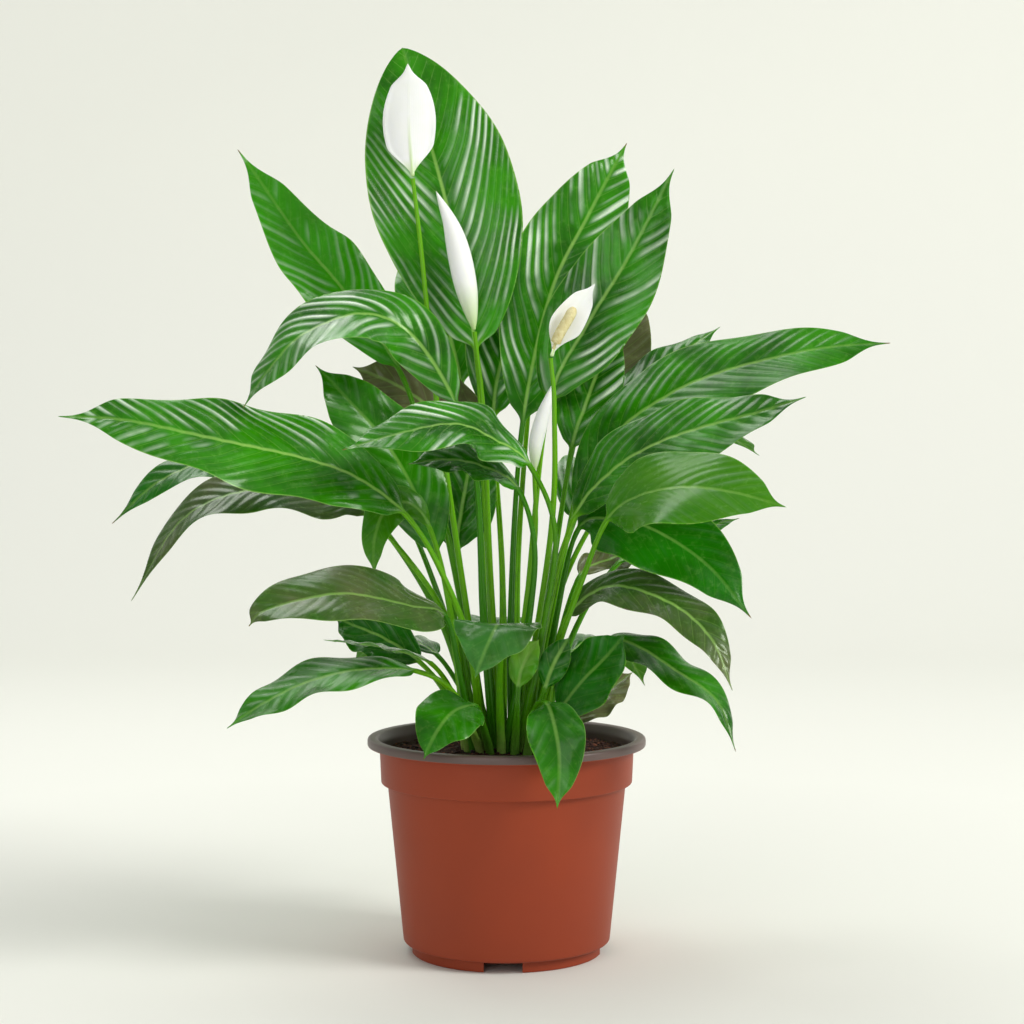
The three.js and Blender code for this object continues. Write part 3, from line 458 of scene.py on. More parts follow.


# Each leaf's petiole and blade run along the frame's, and most widths are the frame's too. A
# petiole's root is a direction in degrees and a ring of the crown; points are in millimetres.
# "face" is the way the upper side looks at the foot, "tip_face" the way it looks at the tip,
# "veining" how strongly side veins and their painted highlights show, "rim" marks blade points
# told from the pot's lip, and "fold", "taper" and "drip" replace FOLD, TAPER and DRIP.
LEAVES = {
    # tall leaves in the middle
    "leaf_tallest": {
        "root": (170, 1),
        "petiole": [(-13, 2, 110), (-20, 6, 235)],
        "blade": [(-27, 14, 350), (-46, 22, 450), (-68, 30, 535), (-93, 42, 621)],
        "width": 134, "face": (0.1, -1, 0.2), "fold": 8, "taper": 0.76, "drip": 0, "tone": "streaked",
    },
    "leaf_tall_right": {
        "root": (56, 1),
        "petiole": [(4, 14, 130)],
        "blade": [(14, 30, 285), (39, 45, 402), (74, 57, 475), (109, 72, 541)],
        "width": 92, "face": (0.2, -1, 0.25), "fold": 12, "tone": "striped",
    },
    "leaf_tall_outer_right": {
        "root": (0, 1),
        "petiole": [(20, 0, 150)],
        "blade": [(37, 6, 302), (70, 2, 372), (107, -3, 432), (146, -8, 508)],
        "width": 84, "face": (-0.2, -1, 0.35), "tone": "streaked",
    },
    "leaf_striped_middle": {
        "root": (112, 1),
        "petiole": [(-4, 44, 150)],
        "blade": [(-12, 68, 290), (-4, 76, 350), (6, 84, 405), (18, 94, 458)],
        "width": 72, "face": (0.1, -1, 0.1), "tone": "striped",
    },
    "leaf_upper_left": {
        "root": (172, 2),
        "petiole": [(-44, 8, 150), (-72, 24, 262)],
        "blade": [(-97, 45, 335), (-149, 60, 408), (-188, 72, 455), (-247, 92, 538)],
        "width": 78, "face": (0.3, -0.85, 0.4), "veining": 0.55, "tone": "bright",
    },
    "leaf_striped_small": {
        "root": (25, 2),
        "petiole": [(40, 26, 150)],
        "blade": [(58, 46, 262), (70, 52, 300), (84, 58, 338), (100, 64, 378)],
        "width": 60, "face": (-0.2, -1, 0.1), "tone": "striped",
    },
    "leaf_olive_right": {
        "root": (54, 2),
        "petiole": [(38, 50, 140)],
        "blade": [(62, 92, 270), (84, 108, 330), (104, 120, 372), (124, 132, 412)],
        "width": 84, "face": (-0.2, -1, 0.2), "tone": "olive",
    },
    "leaf_olive_left": {
        "root": (110, 2),
        "petiole": [(-16, 36, 110)],
        "blade": [(-28, 44, 232), (-54, 48, 285), (-94, 54, 318), (-140, 62, 338)],
        "width": 84, "face": (0.3, -0.9, 0.3), "tone": "olive",
    },
    "leaf_dark_upright": {
        "root": (140, 2),
        "petiole": [(-36, 22, 90)],
        "blade": [(-44, 28, 172), (-41, 30, 205), (-34, 32, 245), (-26, 34, 290)],
        "width": 60, "face": (0, -1, 0.1), "tone": "striped",
    },
    # leaves that reach out to the left
    "leaf_arching_left": {
        "root": (232, 2),
        "petiole": [(-20, -26, 120), (-26, -32, 236)],
        "blade": [
            (-42, -42, 300), (-80, -58, 360), (-122, -78, 378), (-168, -100, 360), (-195, -112, 330),
            (-216, -122, 298),
        ],
        "width": 70, "face": (-0.1, -0.75, 0.65), "tip_face": (-0.75, -0.55, 0.35),
        "veining": 0.75, "tone": "streaked",
    },
    "leaf_middle_left": {
        "root": (196, 3),
        "petiole": [(-42, -16, 100)],
        "blade": [
            (-60, -20, 172), (-80, -26, 228), (-106, -31, 272), (-136, -36, 306), (-164, -40, 336),
        ],
        "width": 72, "face": (0.2, -0.85, 0.4), "veining": 0.4, "tone": "mid",
    },
    "leaf_broad_left": {
        "root": (215, 3),
        "petiole": [(-31, -40, 91), (-56, -60, 161)],
        "blade": [
            (-85, -75, 209), (-126, -92, 241), (-165, -106, 256), (-213, -124, 267), (-257, -140, 277),
            (-310, -158, 288), (-357, -172, 291),
        ],
        "width": 92, "face": (0.05, -0.75, 0.65), "tone": "streaked",
    },
    "leaf_dark_left": {
        "root": (150, 3),
        "petiole": [(-58, 24, 110), (-112, 24, 196)],
        "blade": [(-155, 22, 232), (-205, 12, 250), (-255, 0, 254), (-302, -14, 236), (-342, -28, 199)],
        "width": 52, "face": (-0.1, -0.6, 0.8), "tone": "deep",
    },
    "leaf_drooping_left": {
        "root": (170, 3),
        "petiole": [(-50, 0, 110)],
        "blade": [
            (-118, -14, 204), (-160, -24, 222), (-216, -42, 229), (-273, -62, 206), (-316, -82, 136),
        ],
        "width": 62, "face": (-0.15, -0.6, 0.75), "tip_face": (-0.6, -0.55, 0.5), "tone": "dusky",
    },
    "leaf_hanging_left": {
        "root": (202, 4),
        "petiole": [(-50, -28, 130)],
        "blade": [
            (-66, -41, 196), (-84, -50, 218), (-103, -58, 212), (-112, -62, 186), (-112, -62, 154),
        ],
        "width": 36, "face": (0.5, -0.7, 0.5), "tip_face": (-0.6, -0.8, 0.1),
        "veining": 0.4, "tone": "light",
    },
    "leaf_low_left": {
        "root": (218, 4),
        "petiole": [(-40, -44, 70)],
        "blade": [
            (-52, -62, 122), (-80, -84, 132), (-129, -110, 145), (-165, -126, 142), (-198, -140, 132),
            (-209, -146, 121),
        ],
        "width": 80, "face": (0, -0.55, 0.8), "taper": 1.35, "tone": "dusky", "veining": 0.5,
    },
    "leaf_lowest_left": {
        "root": (233, 4),
        "petiole": [(-44, -52, 54)],
        "blade": [
            (-76, -70, 76), (-122, -95, 80), (-167, -115, 71), (-202, -130, 54), (-228, -142, 37),
        ],
        "width": 54, "face": (-0.1, -0.5, 0.85), "tip_face": (-0.4, -0.5, 0.7),
        "veining": 0.6, "tone": "mid",
    },
    "leaf_narrow_left": {
        "root": (180, 4),
        "petiole": [(-46, -8, 46)],
        "blade": [(-66, -24, 78), (-96, -34, 90), (-127, -39, 96), (-158, -42, 100)],
        "width": 38, "face": (0, 0.1, 1), "tone": "mid",
    },
    "leaf_dark_low_left": {
        "root": (150, 4),
        "petiole": [(-54, 30, 44)],
        "blade": [(-78, 38, 72), (-110, 46, 92), (-135, 52, 102), (-156, 58, 110)],
        "width": 58, "face": (0.1, -0.6, 0.7), "tone": "deep",
    },
    # leaves that reach out to the right
    "leaf_top_right": {
        "root": (354, 2),
        "petiole": [(34, 2, 120)],
        "blade": [
            (60, 8, 204), (97, 16, 276), (144, 20, 312), (193, 20, 333), (243, 18, 346),
            (294, 12, 354), (338, 8, 357),
        ],
        "width": 88, "face": (-0.1, -0.65, 0.75), "veining": 0.7, "tone": "mid",
    },
    "leaf_mid_right": {
        "root": (323, 2),
        "petiole": [(34, -20, 110)],
        "blade": [
            (57, -32, 202), (90, -46, 245), (126, -58, 268), (166, -70, 282), (208, -82, 294),
            (250, -94, 308),
        ],
        "width": 80, "face": (-0.15, -0.7, 0.7), "tone": "mid",
    },
    "leaf_narrow_right": {
        "root": (44, 3),
        "petiole": [(44, 46, 130)],
        "blade": [(77, 62, 281), (104, 70, 308), (133, 78, 331), (165, 88, 354), (197, 98, 376)],
        "width": 54, "face": (-0.3, -0.6, 0.7), "tone": "mid",
    },
    "leaf_light_right": {
        "root": (315, 3),
        "petiole": [(40, -35, 80), (64, -62, 152)],
        "blade": [
            (84, -84, 204), (108, -101, 225), (144, -122, 233), (186, -141, 229), (226, -154, 218),
        ],
        "width": 92, "face": (0, -0.7, 0.7), "tone": "light", "veining": 0.5,
    },
    "leaf_dark_right": {
        "root": (340, 3),
        "petiole": [(44, -16, 120)],
        "blade": [(62, -24, 194), (92, -34, 203), (128, -48, 194), (170, -66, 166), (206, -86, 122)],
        "width": 84, "face": (-0.15, -0.7, 0.65), "tone": "deep", "veining": 0.3,
    },
    "leaf_tip_right": {
        "root": (5, 3),
        "petiole": [(60, 26, 100)],
        "blade": [(100, 46, 160), (139, 58, 176), (180, 68, 191), (213, 78, 200)],
        "width": 36, "face": (0, -0.4, 0.9), "tone": "mid",
    },
    "leaf_brown_right": {
        "root": (24, 3),
        "petiole": [(46, 34, 90)],
        "blade": [(66, 56, 148), (92, 74, 162), (116, 88, 168), (140, 100, 166)],
        "width": 46, "face": (-0.1, -0.5, 0.85), "tone": "olive",
    },
    "leaf_arching_right": {
        "root": (330, 4),
        "petiole": [(40, -26, 70)],
        "blade": [(52, -30, 118), (89, -48, 146), (138, -82, 134), (170, -110, 106), (186, -126, 66)],
        "width": 50, "face": (0, -0.55, 0.8), "tip_face": (0.5, -0.75, 0.3), "tone": "dusky",
    },
    "leaf_low_right": {
        "root": (345, 4),
        "petiole": [(56, -26, 70)],
        "blade": [(84, -48, 100), (112, -64, 96), (142, -82, 78), (176, -102, 54), (190, -116, 14)],
        "width": 46, "face": (0.1, -0.6, 0.75), "tip_face": (0.7, -0.5, 0.5), "tone": "mid", "veining": 0.5,
    },
    "leaf_dark_low_right": {
        "root": (314, 4),
        "petiole": [(34, -40, 22)],
        "blade": [(44, -54, 38), (64, -66, 66), (84, -74, 88), (100, -80, 108)],
        "width": 60, "face": (-0.4, -0.8, 0.45), "veining": 0.4, "tone": "deep",
    },
    "leaf_olive_low_right": {
        "root": (12, 4),
        "petiole": [(44, 12, 12)],
        "blade": [(56, 20, 22), (74, 28, 36), (94, 38, 49), (114, 48, 62)],
        "width": 44, "face": (-0.3, -0.7, 0.6), "tone": "olive",
    },
    # leaves at the front
    "leaf_arching_front": {
        "root": (290, 3),
        "petiole": [(30, -40, 100), (42, -52, 190)],
        "blade": [
            (20, -78, 250), (-9, -95, 272), (-40, -112, 285), (-86, -138, 277), (-132, -160, 264),
        ],
        "width": 72, "face": (-0.05, -0.6, 0.8), "tip_face": (-0.3, -0.7, 0.6), "tone": "striped",
    },
    "leaf_under_arch": {
        "root": (268, 3),
        "petiole": [(18, -44, 110), (24, -56, 180)],
        "blade": [(10, -68, 230), (-20, -82, 250), (-50, -92, 256), (-82, -102, 252)],
        "width": 48, "face": (-0.05, -0.55, 0.8), "tone": "mid",
    },
    "leaf_front_middle": {
        "root": (263, 4),
        "petiole": [(-6, -46, 62)],
        "blade": [(-4, -60, 104), (-7, -86, 117), (-16, -111, 101), (-26, -128, 76)],
        "width": 76, "face": (0, 0.4, 0.9), "tip_face": (0, -0.85, 0.5),
        "taper": 1.3, "tone": "greyish", "veining": 0.3,
    },
    "leaf_young_light": {
        "root": (281, 4),
        "petiole": [(9, -45, 38)],
        "blade": [(10, -49, 60), (13, -52, 76), (20, -54, 90), (28, -56, 102)],
        "width": 26, "face": (-0.2, -0.9, 0.3), "tone": "young",
    },
    "leaf_young_dark": {
        "root": (298, 4),
        "petiole": [(26, -47, 36)],
        "blade": [(33, -55, 60), (39, -59, 78), (46, -62, 92), (54, -65, 105)],
        "width": 26, "face": (0, -0.9, 0.3), "tone": "deep",
    },
    "leaf_over_rim_left": {
        "root": (248, 4),
        "petiole": [(-22, -56, 34)],
        "blade": [(250, -46, 36), (246, -14, 34), (245, 14, 20), (244, 32, 0)],
        "width": 56, "face": (0.1, -0.55, 0.8), "tip_face": (-0.1, -0.9, 0.4), "rim": True,
        "taper": 1.25, "tone": "mid", "veining": 0.25,
    },
    "leaf_over_rim_right": {
        "root": (293, 5),
        "petiole": [(24, -74, 44)],
        "blade": [(288, -16, 42), (287.5, 8, 28), (287.5, 22, 0), (286, 28, -40)],
        "width": 48, "face": (0.05, -0.8, 0.6), "tip_face": (0, -1, 0), "rim": True,
        "tone": "mid", "veining": 0.25,
    },
    # leaves at the back
    "leaf_back_tall_left": {
        "root": (94, 3),
        "petiole": [(-20, 70, 170)],
        "blade": [(-42, 112, 320), (-60, 146, 390), (-76, 176, 434), (-90, 204, 466)],
        "width": 80, "face": (-0.1, -0.6, 0.75), "tone": "mid",
    },
    "leaf_back_tall_right": {
        "root": (72, 3),
        "petiole": [(10, 66, 160)],
        "blade": [(22, 108, 320), (32, 142, 384), (40, 176, 426), (46, 208, 454)],
        "width": 78, "face": (0.1, -0.6, 0.75), "tone": "deep",
    },
    "leaf_back_right": {
        "root": (66, 4),
        "petiole": [(34, 66, 110)],
        "blade": [(62, 96, 196), (80, 136, 236), (94, 176, 244), (104, 214, 220)],
        "width": 78, "face": (0.2, 0.3, 0.9), "tip_face": (0.4, 0.7, 0.5), "tone": "mid",
    },
    "leaf_back_outer_right": {
        "root": (34, 4),
        "petiole": [(48, 74, 130)],
        "blade": [(104, 96, 232), (156, 128, 270), (204, 158, 278), (244, 188, 256)],
        "width": 74, "face": (0.1, -0.1, 1), "tip_face": (0.6, 0.3, 0.7), "tone": "deep",
    },
    "leaf_back_outer_left": {
        "root": (134, 4),
        "petiole": [(-58, 52, 120)],
        "blade": [(-104, 88, 222), (-152, 118, 258), (-198, 146, 264), (-238, 170, 240)],
        "width": 76, "face": (-0.1, -0.1, 1), "tip_face": (-0.6, 0.3, 0.7), "tone": "deep",
    },
    "leaf_back_low": {
        "root": (98, 4),
        "petiole": [(-8, 56, 50)],
        "blade": [(-10, 88, 92), (-14, 124, 104), (-20, 160, 92), (-26, 192, 58)],
        "width": 62, "face": (0, 0.2, 1), "tip_face": (0, 0.7, 0.7), "tone": "deep",
    },
    "leaf_back_low_right": {
        "root": (50, 4),
        "petiole": [(36, 56, 40)],
        "blade": [(60, 84, 76), (86, 112, 88), (112, 138, 72), (132, 158, 36)],
        "width": 56, "face": (0.2, 0.2, 1), "tip_face": (0.5, 0.5, 0.6), "tone": "deep",
    },
    "leaf_back_low_left": {
        "root": (116, 4),
        "petiole": [(-38, 54, 40)],
        "blade": [(-64, 80, 74), (-94, 106, 86), (-124, 130, 72), (-146, 148, 36)],
        "width": 58, "face": (-0.2, 0.2, 1), "tip_face": (-0.5, 0.5, 0.6), "tone": "deep",
    },
}


# ---- flowers -------------------------------------------------------------------------------

# Each flower along its pieces in the frame: its stalk's root and points, then its spathe's and
# its spadix's points, measured from the stalk's top, in millimetres. "width", "face" and "foot"
# are the spathe's width, the way it looks and the share of it over which it widens; "cup" is how
# far its sides bend up, in degrees. A flower without "cup" is a bud.
FLOWERS = {
    "flower_tall": {
        "root": (204, 2),
        "stalk": [(-45, -12, 190), (-63, -4, 320), (-74, 0, 430), (-82, 0, 500)],
        "spathe": [(-3, 2, 40), (-3, 0, 70), (-4, -4, 99)],
        "spadix": [(0, 4.5, 4), (-1, 11, 20), (-2, 16, 44), (-3, 19, 66)],
        "width": 48, "face": (0, 1, 0.1), "cup": 30, "foot": 0.12,
    },
    "flower_bud_thick": {
        "root": (243, 1),
        "stalk": [(-14, -12, 150), (-20, -8, 290), (-28, -6, 366)],
        "spathe": [(-8, 2, 44), (-18, 6, 86), (-34, 10, 124)],
        "width": 21, "face": (0, -1, 0.1),
    },
    "flower_small": {
        "root": (300, 2),
        "stalk": [(38, -34, 190), (41, -38, 296), (38, -36, 342)],
        "spathe": [(8, 0, 22), (22, 0, 43), (38, 0, 64)],
        "spadix": [(2, -5, 8), (7, -9, 20), (14, -10, 32), (20, -10, 43)],
        "width": 32, "face": (0.2, -1, -0.1), "cup": 55, "foot": 0.34,
    },
    "flower_bud_slender": {
        "root": (301, 1),
        "stalk": [(16, -10, 120), (25, -14, 190), (24, -14, 242)],
        "spathe": [(2, 0, 28), (10, 0, 58), (18, 0, 82)],
        "width": 13, "face": (0, -1, 0.1),
    },
}

SPATHE_SEAT = 1.2 * MM  # from a stalk's top to its spathe's foot
SPATHE_TIP = 0.3 * MM  # half the width of a spathe's tip
STIPE_RADIUS = 1.4 * MM  # the short bare stem under a spadix
FLORET_ROWS = 13  # florets round a spadix
FLORET_PITCH = 2.1 * MM


def tube(spine, rings, around, radius_at, facing, foot=0.0):
    """A closed tube along a spine, let down by foot at its start.

    radius_at(share, angle) is its radius. It carries what a petiole's skin carries.
    """

    def place(ring, turn):
        closed = ring in (0, rings)
        share = min(max((ring - 1) / (rings - 2), 0), 1)
        point, sideways, up = frame_at(spine, share, facing)
        angle = 2 * math.pi * turn
        radius = 0 if closed else radius_at(share, angle)
        spot = point + sideways * (radius * math.cos(angle)) + up * (radius * math.sin(angle))
        if share == 0:
            spot.z -= foot
        return spot, Vector((abs(math.cos(angle)), share, 1)), Vector((0, share, 1)), Vector((0, 0.3, 0))

    return rolled_skin(around, rings, place, LEAF_LAYERS)


def stalk_skin(flower, settings):
    """A flower stalk, with faint ribs, a little wider under the flower."""
    spine = Spine([root_point(flower["root"]), *(on_plant(point) for point in flower["stalk"])])
    rings = round(spine.length(0, 1) / (4 * MM))

    def radius_at(share, angle):
        radius = mix(settings.stalk_root, settings.stalk_top, share)
        return radius * (1 + 0.05 * math.cos(5 * angle) + 0.16 * smooth(0.975, 1, share))

    return tube(spine, rings, 20, radius_at, Vector((0, -1, 0.2)), ROOT_DEPTH)


def spathe_spine(flower):
    """The spine of a spathe, from its seat over the stalk's top."""
    top = on_plant(flower["stalk"][-1])
    points = [Vector(point) * MM for point in flower["spathe"]]
    return Spine([top + points[0].normalized() * SPATHE_SEAT, *(top + point for point in points)])


def open_spathe_skin(name, flower, settings):
    """An open spathe: a cupped white blade whose margins curl a little outwards."""
    spine = spathe_spine(flower)
    chance = random.Random(name)
    start = chance.random()
    rings = round(spine.length(0, 1) / (1.3 * MM))
    facing = Vector(flower["face"])
    half_width = flower["width"] * MM / 2
    cup = math.radians(flower["cup"])

    def place(ring, turn):
        share = ring / rings
        point, sideways, up = frame_at(spine, share, facing)
        across, side, _ = section_of(turn)
        full = blade_outline(share, TAPER) ** 0.78 * (1 - 0.6 * smooth(0.78, 0.96, share))
        full *= smooth(-0.05, flower["foot"] + 0.12, share)
        width = max(half_width * full, mix(settings.stalk_top, SPATHE_TIP, share))
        bend = cup * mix(1, 0.55, share) * min(1, share * 5 + 0.2)
        out = abs(across)
        swing = math.sin(2 * math.pi * (1.7 * share + start + 0.2 * across))
        x = width * math.sin(bend * across) / bend
        hollow = width * (1 - math.cos(bend * across)) / bend
        curl = -0.1 * width * smooth(0.75, 1, out) * (1 - share)
        ripple = 0.9 * MM * swing * out**3 * math.sin(math.pi * share) ** 0.7
        thick = max(settings.spathe_thickness / 2, settings.stalk_top * (1 - share) ** 10)
        thick *= math.sqrt(max(1 - out**6, 0))
        keel = 0.5 * MM * math.exp(-((across * width / (1.2 * MM)) ** 2)) * (1 - share)
        z = hollow + curl + ripple + side * thick - (keel if side < 0 else 0)
        if ring in (0, rings):
            x = z = 0
        return point + sideways * x + up * z, Vector((out, share, out * width))

    return rolled_skin(64, rings, place, ("petal_place",))


def rolled_spathe_skin(flower, settings):
    """A bud: a spathe still rolled up into a spindle, with its free edge winding round it."""
    spine = spathe_spine(flower)
    rings = round(spine.length(0, 1) / (1.2 * MM))
    facing = Vector(flower["face"])
    half_width = flower["width"] * MM / 2

    def place(ring, turn):
        share = ring / rings
        point, sideways, up = frame_at(spine, share, facing)
        angle = 2 * math.pi * turn
        wound = (angle / (2 * math.pi) + 0.55 * share + 0.12) % 1.0
        step = wound - smooth(0.93, 1.0, wound)
        tip_width = mix(settings.stalk_top, SPATHE_TIP, share)
        width = max(half_width * blade_outline(share, TAPER), tip_width)
        radius = width * (0.9 + 0.16 * step * smooth(0.05, 0.3, share))
        if ring in (0, rings):
            radius = 0
        spot = point + sideways * (radius * math.cos(angle)) + up * (radius * math.sin(angle))
        return spot, Vector((0.5, share, 4 * MM * abs(wound - 0.5) + 1.6 * MM))

    return rolled_skin(72, rings, place, ("petal_place",))


def spadix_skin(flower, settings):
    """A spadix: a bare stipe, then a club packed with small rounded florets."""
    top = on_plant(flower["stalk"][-1])
    spine = Spine([top + Vector(point) * MM for point in flower["spadix"]])
    length = spine.length(0, 1)
    rings = round(length / (0.42 * MM))

    def radius_at(share, angle):
        end = math.sqrt(max(0, 1 - (max(0, share - 0.82) / 0.19) ** 2))
        club = mix(STIPE_RADIUS, settings.spadix_radius * 0.93 * end, smooth(0.11, 0.16, share))
        row = share * length / FLORET_PITCH
        column = angle * FLORET_ROWS / (2 * math.pi)
        dome = abs(math.cos(math.pi * (row + column / 2)) * math.cos(math.pi * (row - column / 2)))
        return club + 0.5 * MM * dome**0.5 * smooth(0.13, 0.18, share) * end

    return tube(spine, rings, 130, radius_at, Vector((0, -1, 0.3)))


# ---- the nursery pot -----------------------------------------------------------------------

# The pot's outline in millimetres, as in the frame but for a lip lower by 1.5. Heights are told
# from the floor, and the collar's and the lip's depths from the top.
COLLAR_DEPTH = 40
COLLAR_STEP = 5.5
COLLAR_FLARE = 1.5
LIP_OVERHANG = 10.5
LIP_HEIGHT = 7.5
FOOT_HEIGHT = 10
FOOT_INSET = 7
FOOT_WIDTH = 8
BODY_NARROWING = 14  # from the body's upper edge to its lower edge
PAD_RADIUS = 42
CHANNEL_DEPTH = 8
NOTCH_WIDTH = 33
NOTCH_HEIGHT = 8.5
NOTCH_COUNT = 4
NOTCH_TURN = -2  # degrees
DRAIN_HOLE_RADIUS = 5
DRAIN_HOLE_COUNT = 8
POT_STEPS = 240  # round the pot


def rounded(outline):
    """An outline of (radius, height, corner) with each corner drawn as a small arc."""
    points = []
    for i, (radius, height, corner) in enumerate(outline):
        here = Vector((radius, height))
        if not corner:
            points.append(here)
            continue
        before = Vector(outline[i - 1][:2]) - here
        after = Vector(outline[i + 1][:2]) - here
        reach = min(corner, before.length * 0.48, after.length * 0.48)
        start, end = here + before.normalized() * reach, here + after.normalized() * reach
        for step in range(6):
            share = step / 5
            points.append(start.lerp(here, share).lerp(here.lerp(end, share), share))
    return points


def turned_skin(points, around):
    """A closed skin turned about the pot's axis from points that start and end on it."""
    rings = len(points) - 1

    def place(ring, turn):
        radius, height = points[ring]
        angle = 2 * math.pi * turn
        spot = Vector((radius * math.cos(angle), radius * math.sin(angle), height))
        return spot * MM, Vector((ring / rings, 0, 0))

    return rolled_skin(around, rings, place, ("turned_ring",))


def pot_outline(settings):
    """The pot's section in millimetres, and its point where the dark plastic begins.

    It runs up the outside to the lip, then down the inside. A corner is (radius, height,
    radius of its rounding).
    """
    top = POT_HEIGHT / MM
    rim = RIM_RADIUS / MM
    wall = settings.wall / MM
    mouth = rim - LIP_OVERHANG
    collar = mouth - COLLAR_FLARE
    body = collar - COLLAR_STEP
    low_body = body - BODY_NARROWING
    foot = low_body - FOOT_INSET
    channel = foot - FOOT_WIDTH
    collar_foot = top - COLLAR_DEPTH
    lip_foot = top - LIP_HEIGHT
    floor_top = CHANNEL_DEPTH + wall
    outside = [
        (0, 0, 0),
        (PAD_RADIUS, 0, 1.2),
        (PAD_RADIUS, CHANNEL_DEPTH, 1.2),
        (channel, CHANNEL_DEPTH, 1.2),
        (channel, 0, 1.2),
        (foot, 0, 1.6),
        (foot, FOOT_HEIGHT, 1.2),
        (low_body, FOOT_HEIGHT, 2.6),
        (body, collar_foot, 1.0),
        (collar, collar_foot, 1.4),
        (mouth, lip_foot, 0.8),
        (rim - 0.6, lip_foot, 0.9),
    ]
    inside = [
        (rim, lip_foot + 1.2, 1.6),
        (rim, top, 3.6),
        (mouth + 1.5, top, 2.6),
        (mouth - wall, lip_foot, 2.0),
        (collar - wall, collar_foot + wall, 1.2),
        (body - wall, collar_foot - wall, 1.2),
        (low_body - wall, floor_top + 1.8, 3.0),
        (channel, floor_top, 2.0),
        (PAD_RADIUS, floor_top, 1.2),
        (PAD_RADIUS - wall, wall, 1.2),
        (0, wall, 0),
    ]
    points = rounded(outside + inside)
    seam = sum(6 if corner else 1 for _, _, corner in outside) - 1
    return finer(points, seam)


def finer(points, seam):
    """Splits the long stretches of an outline, and says which point the seam is now."""
    made = [points[0]]
    new_seam = 0
    for i, (a, b) in enumerate(zip(points, points[1:])):
        parts = max(1, round((b - a).length / 8))
        made += [a.lerp(b, (j + 1) / parts) for j in range(parts)]
        if i + 1 == seam:
            new_seam = len(made) - 1
    return made, new_seam


def cutters():
    """The drainage notches through the foot ring and the drain holes in the floor."""
    made = bmesh.new()
    rim = RIM_RADIUS / MM
    foot = rim - LIP_OVERHANG - COLLAR_FLARE - COLLAR_STEP - BODY_NARROWING - FOOT_INSET
    channel = foot - FOOT_WIDTH
    for i in range(NOTCH_COUNT):
        turn = Matrix.Rotation(math.radians(360 * i / NOTCH_COUNT + NOTCH_TURN), 4, "Z")
        size = Matrix.Diagonal((3 * FOOT_WIDTH, NOTCH_WIDTH, 2 * NOTCH_HEIGHT, 1))
        move = Matrix.Translation(((foot + channel) / 2, 0, 0))
        bmesh.ops.create_cube(made, size=1, matrix=turn @ move @ size)
    for i in range(DRAIN_HOLE_COUNT):
        turn = Matrix.Rotation(math.radians(360 * (i + 0.5) / DRAIN_HOLE_COUNT), 4, "Z")
        move = Matrix.Translation(((PAD_RADIUS + channel) / 2, 0, CHANNEL_DEPTH + 1))
        bmesh.ops.create_cone(
            made,
            cap_ends=True,
            segments=32,
            radius1=DRAIN_HOLE_RADIUS,
            radius2=DRAIN_HOLE_RADIUS,
            depth=6,
            matrix=turn @ move,
        )
    bmesh.ops.scale(made, vec=(MM, MM, MM), verts=made.verts)
    return made


def cut(skin, cutter):
    """Cuts one closed bmesh by another, and returns what is left."""
    pieces = []
    for name, content in (("skin", skin), ("cutter", cutter)):
        mesh = bpy.data.meshes.new(name)
        content.to_mesh(mesh)
        content.free()
        pieces.append(bpy.data.objects.new(name, mesh))
        bpy.context.scene.collection.objects.link(pieces[-1])
    whole, tool = pieces
    boolean = whole.modifiers.new("Cut", "BOOLEAN")
    boolean.object = tool
    boolean.solver = "EXACT"
    graph = bpy.context.evaluated_depsgraph_get()
    left = bmesh.new()
    left.from_object(whole, graph)
    for piece in pieces:
        bpy.data.meshes.remove(piece.data)
    return left


# ---- the potting soil ----------------------------------------------------------------------

CRUMB_COLOURS = ("#3B1E14", "#6B3A22", "#1D100B")


def soil_height(x, y):
    """The height of the soil's rough surface at a place on it."""
    reach = math.hypot(x, y)
    dome = 2.5 * MM * (1 - smooth(30 * MM, 95 * MM, reach))
    spot = Vector((x, y, 0))
    lumps = 2.2 * MM * noise.noise(spot * 70) + 1.3 * MM * noise.noise(spot * 190)
    grains = 0.7 * MM * noise.noise(spot * 520)
    return SOIL_LEVEL - 2.5 * MM + dome + lumps + grains


def soil_skin():
    """The soil: a rough top, and plain sides inside the pot."""
    mouth = SOIL_RADIUS - 0.2 * MM
    low = soil_low.z + 3 * MM
    across = 70  # rings on the rough top
    below = (
        (mouth - 1.8 * MM, SOIL_LEVEL - 24 * MM),  # under the lip
        (mouth - 8 * MM, SOIL_LEVEL - 31 * MM),  # under the collar
        (mouth - 21.5 * MM, low),  # at the pot's floor
        (0, low),
    )

    def place(ring, turn):
        angle = 2 * math.pi * turn
        if ring <= across:
            radius = mouth * ring / across
            x, y = radius * math.cos(angle), radius * math.sin(angle)
            return (Vector((x, y, soil_height(x, y))),)
        radius, height = below[ring - across - 1]
        return (Vector((radius * math.cos(angle), radius * math.sin(angle), height)),)

    return rolled_skin(200, across + len(below), place)


